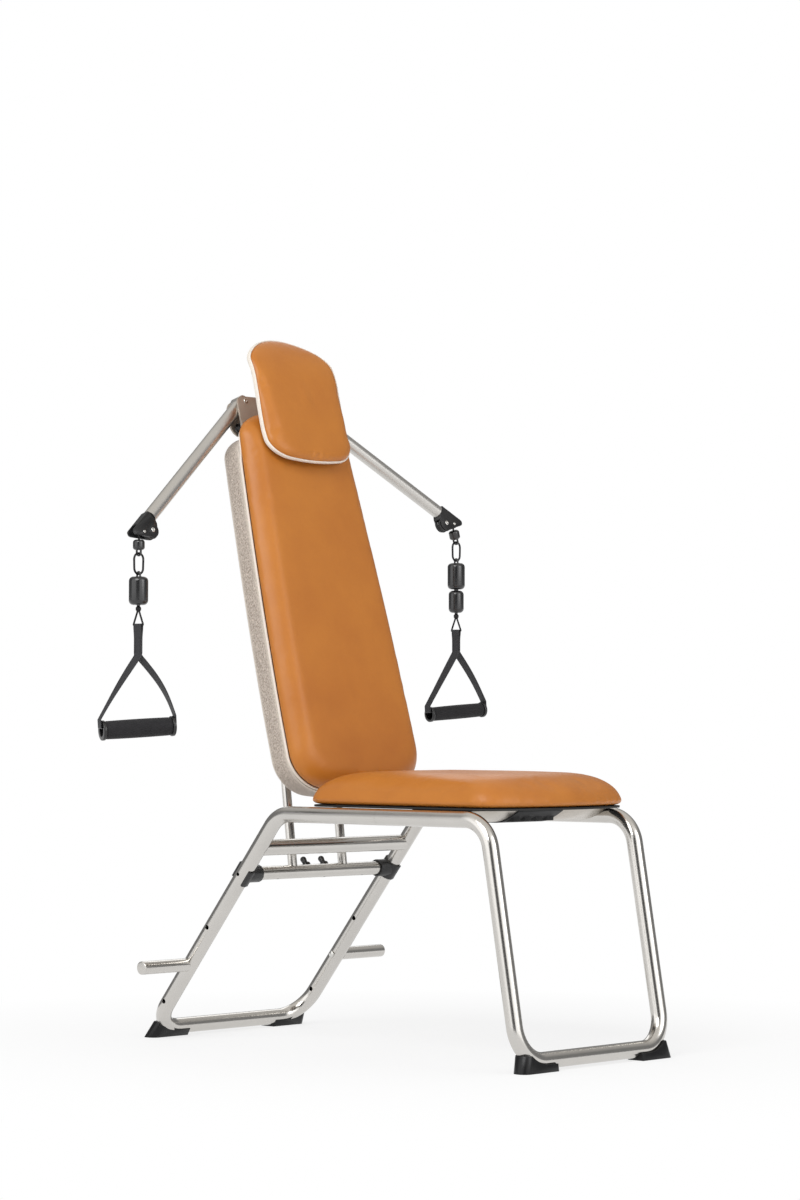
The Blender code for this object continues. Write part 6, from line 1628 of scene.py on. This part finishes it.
class CHAIR_OT_chains(bpy.types.Operator):
    """Builds the pull cords, ferrules, links, barrels and rings"""
    bl_idname = "chair.chains"
    bl_label = "Chains"

    def execute(self, context):
        looks = finishes(context)
        for label, data in SIDES.items():
            places = chain_places(data)
            self.cord(looks["cord"], label, places["pull"])
            self.ferrule(looks["weight"], label, places["pull"])
            self.link(looks["wire"], label, places["link"])
            self.barrels(looks["weight"], label, data, places["barrel"])
            self.ring(looks["wire"], label, places["ring"])
        return {"FINISHED"}

    def cord(self, cord, label, matrix):
        """A short length held straight between the head's roller and the ferrule."""
        path = placed(np.column_stack([np.zeros((49, 2)), np.linspace(0, GAP - STUB, 49)]), matrix)
        item = piece(f"pull_cord_{label}_braid",
                     wire("pull", path, CORD_RADIUS, matrix[:3, 1]), cord, None,
                     [f"pull_cord_{label}"])
        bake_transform(item)

    def ferrule(self, weight, label, matrix):
        """A turned plug with a sloping neck and foot, and a wire eye bent in a half circle."""
        top, low = -STUB, -STUB - FERRULE_LENGTH
        radius = FERRULE_RADIUS
        profile = rounded([(FERRULE_MOUTH, top), (radius * FERRULE_NECK_SHARE, top),
                           (radius, top - FERRULE_SLOPE), (radius, low + FERRULE_FOOT),
                           (radius - FERRULE_SLOPE, low), (0.0, low)], FERRULE_ROUNDING, 4)
        parts = [lathe("ferrule", profile[:-1], TUBE_SIDES, matrix,
                       (top - FERRULE_DISH, low))]
        turn = arc((0, -EYE_LEG), EYE_HALF_WIDTH, math.pi, 2 * math.pi, 16)
        route = np.concatenate([[(-EYE_HALF_WIDTH, EYE_SINK)], turn, [(EYE_HALF_WIDTH, EYE_SINK)]])
        route = np.column_stack([np.zeros(len(route)), route[:, 0], route[:, 1] + low])
        parts.append(wire("eye", placed(route, matrix), EYE_WIRE, matrix[:3, 0]))
        piece(f"ferrule_{label}_body", merged("ferrule", parts), weight, f"ferrule_{label}",
              [f"ferrule_{label}"])

    def link(self, black, label, origin):
        """A long link: a half circle at the top, sides that draw in a little, and a flatter arc."""
        lift = EYE_WIRE + LINK_WIRE + GAP
        wide = LINK_WIDTH / 2 - LINK_WIRE
        tall = LINK_HEIGHT - 2 * LINK_WIRE
        top = arc((0, -wide), wide, 0, math.pi, 18)
        small = LINK_LOW_RADIUS
        low = arc((0, small - tall), small, math.pi + LINK_LOW_SPARE, 2 * math.pi - LINK_LOW_SPARE,
                  14)
        route = rounded(np.concatenate([top, low]), LINK_ROUNDING, 3, loop=True)
        path = flat_wire(route + (0, lift)) + origin
        piece(f"link_{label}_wire", wire("link", path, LINK_WIRE, (0, 1, 0), loop=True, sides=18),
              black, f"link_{label}", [f"link_{label}"])

    def barrels(self, weight, label, data, origin):
        """Weights on one axis, each a cylinder whose edges are quarter circles, joined by a neck,
        with a wire eye over the link above."""
        first = -LINK_WIRE - BARREL_SPACE
        z = first
        edge = BARREL_EDGE
        profile = []
        for k, (radius, height) in enumerate(data["barrels"]):
            if k:
                profile.append(np.array([(BARREL_NECK, z + BARREL_SPACE), (BARREL_NECK, z)]))
            profile.append(arc((radius - edge, z - edge), edge, math.pi / 2, 0, 10))
            profile.append(arc((radius - edge, z - height + edge), edge, 0, -math.pi / 2, 10))
            z -= height + BARREL_SPACE
        bottom = z + BARREL_SPACE
        place = at(origin)
        parts = [lathe("barrel", np.concatenate(profile), BARREL_SIDES, place, (first, bottom))]
        bend = LINK_WIRE + BARREL_EYE_WIRE + GAP
        depth = LINK_WIRE + BARREL_SPACE + 2 * EYE_SINK
        over = arc((0, 0), bend, math.pi, 0, 18)
        route = np.concatenate([[(-bend, -depth)], over, [(bend, -depth)]])
        path = np.column_stack([np.zeros(len(route)), route]) + origin
        parts.append(wire("eye", path, BARREL_EYE_WIRE, (1, 0, 0)))
        piece(f"barrel_{label}_weights", merged("barrel", parts), weight, f"barrel_{label}",
              [f"barrel_{label}"])

    def ring(self, black, label, origin):
        """A waisted swivel, turned, and under it a wire triangle with rounded corners."""
        place = at(origin, RING_YAW)
        neck, top, low = SWIVEL_LEVELS
        profile = rounded([(SWIVEL_WAIST, -GAP), (SWIVEL_WAIST, neck), (SWIVEL_RADIUS, top),
                           (SWIVEL_RADIUS, low), (SWIVEL_WAIST, -SWIVEL_HEIGHT)],
                          SWIVEL_ROUNDING, 4)
        parts = [build("swivel", turned(profile, SLIM_SIDES, place))]
        top = -SWIVEL_HEIGHT + RING_WIRE
        low = top - RING_HEIGHT + RING_WIRE
        half = RING_HALF_WIDTH
        corners = [(RING_TOP_HALF_WIDTH, top), (half, low), (-half, low),
                   (-RING_TOP_HALF_WIDTH, top)]
        route = rounded(corners, RING_ROUNDING, 6, loop=True)
        parts.append(wire("ring", placed(flat_wire(route), place), RING_WIRE, place[:3, 1],
                          loop=True))
        piece(f"ring_{label}_swivel", merged("ring", parts), black, f"ring_{label}",
              [f"ring_{label}"])


class CHAIR_OT_handles(bpy.types.Operator):
    """Builds the straps, the grip cores and the foam grips"""
    bl_idname = "chair.handles"
    bl_label = "Handles"

    def execute(self, context):
        looks = finishes(context)
        for label, data in SIDES.items():
            origin = chain_places(data)["handle"]
            self.strap(looks, label, data, origin)
            yaw, tilt = math.radians(data["yaw"]), math.radians(data["grip_tilt"])
            along = np.array([math.cos(yaw), math.sin(yaw), 0]) * math.cos(tilt)
            along[2] = math.sin(tilt)
            level = np.array([math.sin(yaw), -math.cos(yaw), 0])
            matrix = axes_matrix(level, np.cross(along, level), along,
                                 origin + (0, 0, -data["strap"] - data["drop"]))
            self.core(looks["gloss"], label, data, matrix)
            self.foam(looks["foam"], label, data, matrix)
        return {"FINISHED"}

    def core(self, gloss, label, data, matrix):
        """A tube with a flange at each end: one half's profile, and that half mirrored."""
        half, flange = data["length"] / 2, data["flange"]
        step = half - CORE_FLANGE
        one = rounded([(CORE_BORE, half), (flange, half), (flange, step), (CORE_RADIUS, step),
                       (CORE_RADIUS, 0.0)], CORE_ROUNDING, 4)[1:]
        edge = [(CORE_BORE, half - CORE_CHAMFER), (CORE_BORE + CORE_CHAMFER, half)]
        upper = np.concatenate([edge, one])
        lower = upper[::-1][1:] * (1, -1)
        profile = np.concatenate([upper, lower])
        piece(f"grip_core_{label}_tube", lathe("core", profile, BARREL_SIDES, matrix), gloss,
              f"handle_{label}", [f"grip_core_{label}"])

    def foam(self, foam, label, data, matrix):
        """A sleeve with rounded ends that is fullest in its middle by the cosine of its length."""
        reach = data["length"] / 2 - CORE_FLANGE - GAP
        radius = data["foam"]
        z = np.linspace(reach, -reach, 33)
        skin = np.stack([radius - FOAM_CROWN * (1 - np.cos(z / reach * math.pi / 2)), z], 1)
        skin[[0, -1], 0] -= FOAM_ROUNDING
        skin = rounded(skin, FOAM_ROUNDING, 3)
        bore = CORE_RADIUS + FOAM_CLEARANCE
        inner = [(bore, -reach), (bore, reach)]
        profile = np.concatenate([skin, inner])
        item = piece(f"grip_{label}_foam", lathe("foam", profile, BARREL_SIDES, matrix), foam,
                     f"grip_{label}", [f"grip_{label}"])

    def strap(self, looks, label, data, origin):
        """One band: out of the grip's bore, up a leg, over the ring's bar and down the other
        leg. Its width turns from the bar's direction to square with the grip."""
        ring_dir = np.array([math.cos(RING_YAW), math.sin(RING_YAW), 0])
        side_dir = np.cross((0, 0, 1), ring_dir)
        yaw, tilt = math.radians(data["yaw"]), math.radians(data["grip_tilt"])
        grip_dir = np.array([math.cos(yaw), math.sin(yaw), 0])
        square = np.array([grip_dir[1], -grip_dir[0], 0])
        half, rise = data["length"] / 2, STRAP_THICKNESS / 2
        bore = math.sqrt((CORE_BORE - GAP) ** 2 - STRAP_HALF_WIDTH ** 2) - rise - GAP
        outside = half + rise + GAP + LEG_STAND_OFF
        apex = -data["strap"]

        def on_grip(distance, height):
            return (grip_dir * (distance * math.cos(tilt) - height * math.sin(tilt))
                    + np.array([0, 0, apex - data["drop"] + distance * math.sin(tilt)
                                + height * math.cos(tilt)]))

        legs = []
        for sign in (-1, 1):
            begin = side_dir * sign * (rise + STRAP_SEAM) + np.array([0, 0, apex])
            lip = on_grip(sign * outside, data["flange"] + LEG_STAND_OFF)
            share = np.linspace(0, 1, 25)[:, None]
            bow = data["bow"][(sign + 1) // 2] * half
            path = lerp(begin, lip, share) + grip_dir * sign * bow * np.sin(math.pi * share)
            turn = np.stack([on_grip(sign * outside, bore + LEG_TURN),
                             on_grip(sign * (half + rise), bore),
                             on_grip(sign * (half - LEG_INSIDE), bore)])
            legs.append(np.concatenate([path, turn]))
        bar = RING_WIRE + GAP + rise
        angle = np.linspace(math.pi, 0, 15)
        over = side_dir * (bar * np.cos(angle))[:, None]
        over[:, 2] = bar * np.sin(angle)
        drop = np.linspace(0.1, 0.9, 9)
        down = side_dir * lerp(bar, rise + STRAP_SEAM, ease(drop * STRAP_DRAW_IN))[:, None]
        down[:, 2] = drop * apex
        other = down * (-1, -1, 1)
        counts = (len(legs[0]), len(down), len(over), len(down), len(legs[1]))
        path = np.concatenate([legs[0][::-1], other[::-1], over, down, legs[1]])
        turn = ease(np.linspace(0, 1, 25))
        one_leg = np.concatenate([turn, np.ones(3)])
        share = np.concatenate([one_leg[::-1], np.zeros(sum(counts[1:4])), one_leg])[:, None]
        across = unit(ring_dir * (1 - share) + square * share)
        section = band_section(STRAP_HALF_WIDTH, rise)
        rings = carried(section, path, across) + origin
        piece(f"strap_{label}_webbing", build("strap", rings), looks["webbing"],
              f"handle_{label}", [f"strap_{label}"])
        self.stitches(looks["cord"], label, apex, ring_dir, side_dir, origin)

    def stitches(self, thread, label, apex, ring_dir, side_dir, origin):
        """Short thread loops in two rows down the doubled strap, on both of its faces."""
        parts = []
        share = np.linspace(0, 1, 7)[:, None]
        for face in (-1, 1):
            for row in (-STITCH_ROW, STITCH_ROW):
                for k in range(int((-apex - STITCH_MARGIN) / STITCH_PITCH)):
                    top = STITCH_START - STITCH_PITCH * k
                    out = STRAP_THICKNESS + STRAP_SEAM + STITCH_THREAD * np.sin(math.pi * share)
                    path = ring_dir * row + side_dir * face * out + origin
                    path[:, 2] += top - STITCH_LENGTH * share[:, 0]
                    parts.append(wire("stitch", path, STITCH_THREAD, ring_dir, sides=6))
        piece(f"strap_{label}_stitching", merged("stitches", parts), thread, f"handle_{label}")


class CHAIR_OT_stage(bpy.types.Operator):
    """Sets the camera, the lights, the sky and the floor"""
    bl_idname = "chair.stage"
    bl_label = "Stage"

    def execute(self, context):
        scene = context.scene
        scene.view_settings.view_transform = "Standard"
        self.camera(scene)
        settings = scene.chair_stage
        powers = (settings.key, settings.fill, settings.fill * REAR_SHARE)
        for power, (name, (size, place)) in zip(powers, LAMPS.items()):
            self.lamp(name, power, size, place)
        self.sky(scene, settings.world)
        self.floor()
        return {"FINISHED"}

    def camera(self, scene):
        """A camera at the photographer's place: its directions follow from yaw, pitch and roll."""
        camera = bpy.data.cameras.new("view")
        camera.sensor_fit = "VERTICAL"
        camera.sensor_height = CAMERA_SENSOR
        camera.lens = CAMERA_LENS
        camera.shift_x, camera.shift_y = CAMERA_SHIFT
        item = bpy.data.objects.new("view", camera)
        scene.collection.objects.link(item)
        yaw, pitch, roll = CAMERA_YAW, CAMERA_PITCH, CAMERA_ROLL
        ahead = np.array([math.sin(yaw) * math.cos(pitch), math.cos(yaw) * math.cos(pitch),
                          -math.sin(pitch)])
        right = np.array([math.cos(yaw), -math.sin(yaw), 0.0])
        up = np.cross(right, ahead)
        turned_right = right * math.cos(roll) + up * math.sin(roll)
        turned_up = up * math.cos(roll) - right * math.sin(roll)
        item.matrix_world = Matrix(axes_matrix(turned_right, turned_up, -ahead,
                                               CAMERA_PLACE).tolist())
        scene.camera = item

    def lamp(self, name, power, size, place):
        """A square soft lamp that faces the middle of the chair."""
        light = bpy.data.lights.new(name, "AREA")
        light.shape = "SQUARE"
        light.size = size
        light.energy = power
        item = bpy.data.objects.new(name, light)
        bpy.context.scene.collection.objects.link(item)
        item.location = place
        aim = Vector(LAMP_AIM) - Vector(place)
        item.rotation_euler = aim.to_track_quat("-Z", "Y").to_euler()

    def sky(self, scene, strength):
        """White to the camera and even to matt surfaces. Mirrored rays see a studio, by the cosine
        of their turn from the photographer: a dark gap, a wide soft box on either side of it, and
        grey walls behind, all under a warmer, darker ceiling. It draws the bands on the tubes."""
        world = bpy.data.worlds.new("studio")
        scene.world = world
        world.use_nodes = True
        tree = world.node_tree
        tree.nodes.clear()
        where = add_node(tree, "ShaderNodeTexCoord")
        split = add_node(tree, "ShaderNodeSeparateXYZ", {}, {0: where.outputs["Generated"]})
        height = add_node(tree, "ShaderNodeMapRange", CEILING_FADE, {"Value": split.outputs["Z"]})
        level = add_node(tree, "ShaderNodeVectorMath", {1: (1, 1, 0)},
                         {0: where.outputs["Generated"]}, operation="MULTIPLY")
        heading = add_node(tree, "ShaderNodeVectorMath", {}, {0: level.outputs[0]},
                           operation="NORMALIZE")
        turn = CAMERA_YAW + math.pi - GAP_TURN
        facing = add_node(tree, "ShaderNodeVectorMath", {1: (math.sin(turn), math.cos(turn), 0)},
                          {0: heading.outputs[0]}, operation="DOT_PRODUCT")
        share = add_node(tree, "ShaderNodeMapRange", {"From Min": -1.0, "From Max": 1.0},
                         {"Value": facing.outputs["Value"]})
        walls = add_node(tree, "ShaderNodeValToRGB", {}, {"Fac": share.outputs[0]})
        ramp = walls.color_ramp
        while len(ramp.elements) < len(STUDIO_WALLS):
            ramp.elements.new(0.5)
        for element, (place, grey) in zip(ramp.elements, STUDIO_WALLS):
            element.position = place
            element.color = (grey, grey, grey, 1)
        shade = add_node(tree, "ShaderNodeMix", {"B": CEILING_GREY},
                         {"Factor": height.outputs[0], "A": walls.outputs["Color"]},
                         data_type="RGBA")
        even = add_node(tree, "ShaderNodeBackground", {"Color": (1, 1, 1, 1),
                                                       "Strength": strength})
        studio = add_node(tree, "ShaderNodeBackground", {"Strength": STUDIO_STRENGTH},
                          {"Color": shade.outputs["Result"]})
        plain = add_node(tree, "ShaderNodeBackground", {"Color": (1, 1, 1, 1), "Strength": 1.0})
        rays = add_node(tree, "ShaderNodeLightPath")
        glossy = add_node(tree, "ShaderNodeMixShader", {},
                          {0: rays.outputs["Is Glossy Ray"], 1: even.outputs[0],
                           2: studio.outputs[0]})
        mixed = add_node(tree, "ShaderNodeMixShader", {},
                         {0: rays.outputs["Is Camera Ray"], 1: glossy.outputs[0],
                          2: plain.outputs[0]})
        add_node(tree, "ShaderNodeOutputWorld", {}, {"Surface": mixed.outputs[0]})

    def floor(self):
        """A round floor of rings. It is pale and takes shadows, and to the camera it brightens to
        white away from the chair."""
        count = len(FLOOR_RADII)
        rings = turned(np.column_stack([FLOOR_RADII, np.zeros(count)]), FLOOR_SIDES)
        mesh = bpy.data.meshes.new("floor")
        index = np.arange(count * FLOOR_SIDES).reshape(count, FLOOR_SIDES)
        quads = np.stack([index[:-1], index[1:], np.roll(index[1:], -1, 1),
                          np.roll(index[:-1], -1, 1)], -1).reshape(-1, 4)
        mesh.from_pydata(rings.reshape(-1, 3).tolist(), [], quads.tolist() + [index[0].tolist()])
        item = show("floor", mesh)
        material = bpy.data.materials.new("paper_roll_white")
        material.use_nodes = True
        tree = material.node_tree
        tree.nodes.clear()
        where = add_node(tree, "ShaderNodeTexCoord")
        away = add_node(tree, "ShaderNodeVectorMath", {}, {0: where.outputs["Object"]},
                        operation="LENGTH")
        fade = add_node(tree, "ShaderNodeMapRange", FLOOR_FADE, {"Value": away.outputs["Value"]})
        rays = add_node(tree, "ShaderNodeLightPath")
        seen = add_node(tree, "ShaderNodeMath", {}, {0: rays.outputs["Is Camera Ray"],
                                                     1: rays.outputs["Is Glossy Ray"]},
                        operation="MAXIMUM")
        share = add_node(tree, "ShaderNodeMath", {}, {0: seen.outputs[0], 1: fade.outputs[0]},
                         operation="MULTIPLY")
        paper = add_node(tree, "ShaderNodeBsdfDiffuse", {"Color": PAPER_GREY})
        white = add_node(tree, "ShaderNodeEmission", {"Color": (1, 1, 1, 1), "Strength": 1.0})
        mixed = add_node(tree, "ShaderNodeMixShader", {},
                         {0: share.outputs[0], 1: paper.outputs[0], 2: white.outputs[0]})
        add_node(tree, "ShaderNodeOutputMaterial", {}, {"Surface": mixed.outputs[0]})
        mesh.materials.append(material)


class CHAIR_PT_panel(bpy.types.Panel):
    bl_idname = "CHAIR_PT_panel"
    bl_label = "Fitness chair"
    bl_space_type = "VIEW_3D"
    bl_region_type = "UI"
    bl_category = "Chair"

    def draw(self, context):
        scene = context.scene
        for operator in OPERATORS:
            self.layout.operator(operator.bl_idname)
        for settings, names in ((scene.chair_frame, ("tube_radius", "steel")),
                                (scene.chair_upholstery, ("leather", "leather_deep", "felt_light",
                                                          "felt_dark", "swell")),
                                (scene.chair_handle, ("webbing", "foam")),
                                (scene.chair_stage, ("world", "key", "fill"))):
            column = self.layout.column()
            for name in names:
                column.prop(settings, name)


OPERATORS = (CHAIR_OT_stage, CHAIR_OT_frame, CHAIR_OT_fittings, CHAIR_OT_seat, CHAIR_OT_back,
             CHAIR_OT_headrest, CHAIR_OT_arms, CHAIR_OT_chains, CHAIR_OT_handles)
GROUPS = {"chair_frame": FrameSettings, "chair_upholstery": UpholsterySettings,
          "chair_handle": HandleSettings, "chair_stage": StageSettings}


def register():
    for name, group in GROUPS.items():
        bpy.utils.register_class(group)
        setattr(bpy.types.Scene, name, bpy.props.PointerProperty(type=group))
    for operator in OPERATORS:
        bpy.utils.register_class(operator)
    bpy.utils.register_class(CHAIR_PT_panel)


def unregister():
    bpy.utils.unregister_class(CHAIR_PT_panel)
    for operator in reversed(OPERATORS):
        bpy.utils.unregister_class(operator)
    for name, group in GROUPS.items():
        delattr(bpy.types.Scene, name)
        bpy.utils.unregister_class(group)


def main():
    register()
    bpy.ops.chair.stage()
    bpy.ops.chair.frame()
    bpy.ops.chair.fittings()
    bpy.ops.chair.seat()
    bpy.ops.chair.back()
    bpy.ops.chair.headrest()
    bpy.ops.chair.arms()
    bpy.ops.chair.chains()
    bpy.ops.chair.handles()


if __name__ == "__main__":
    main()
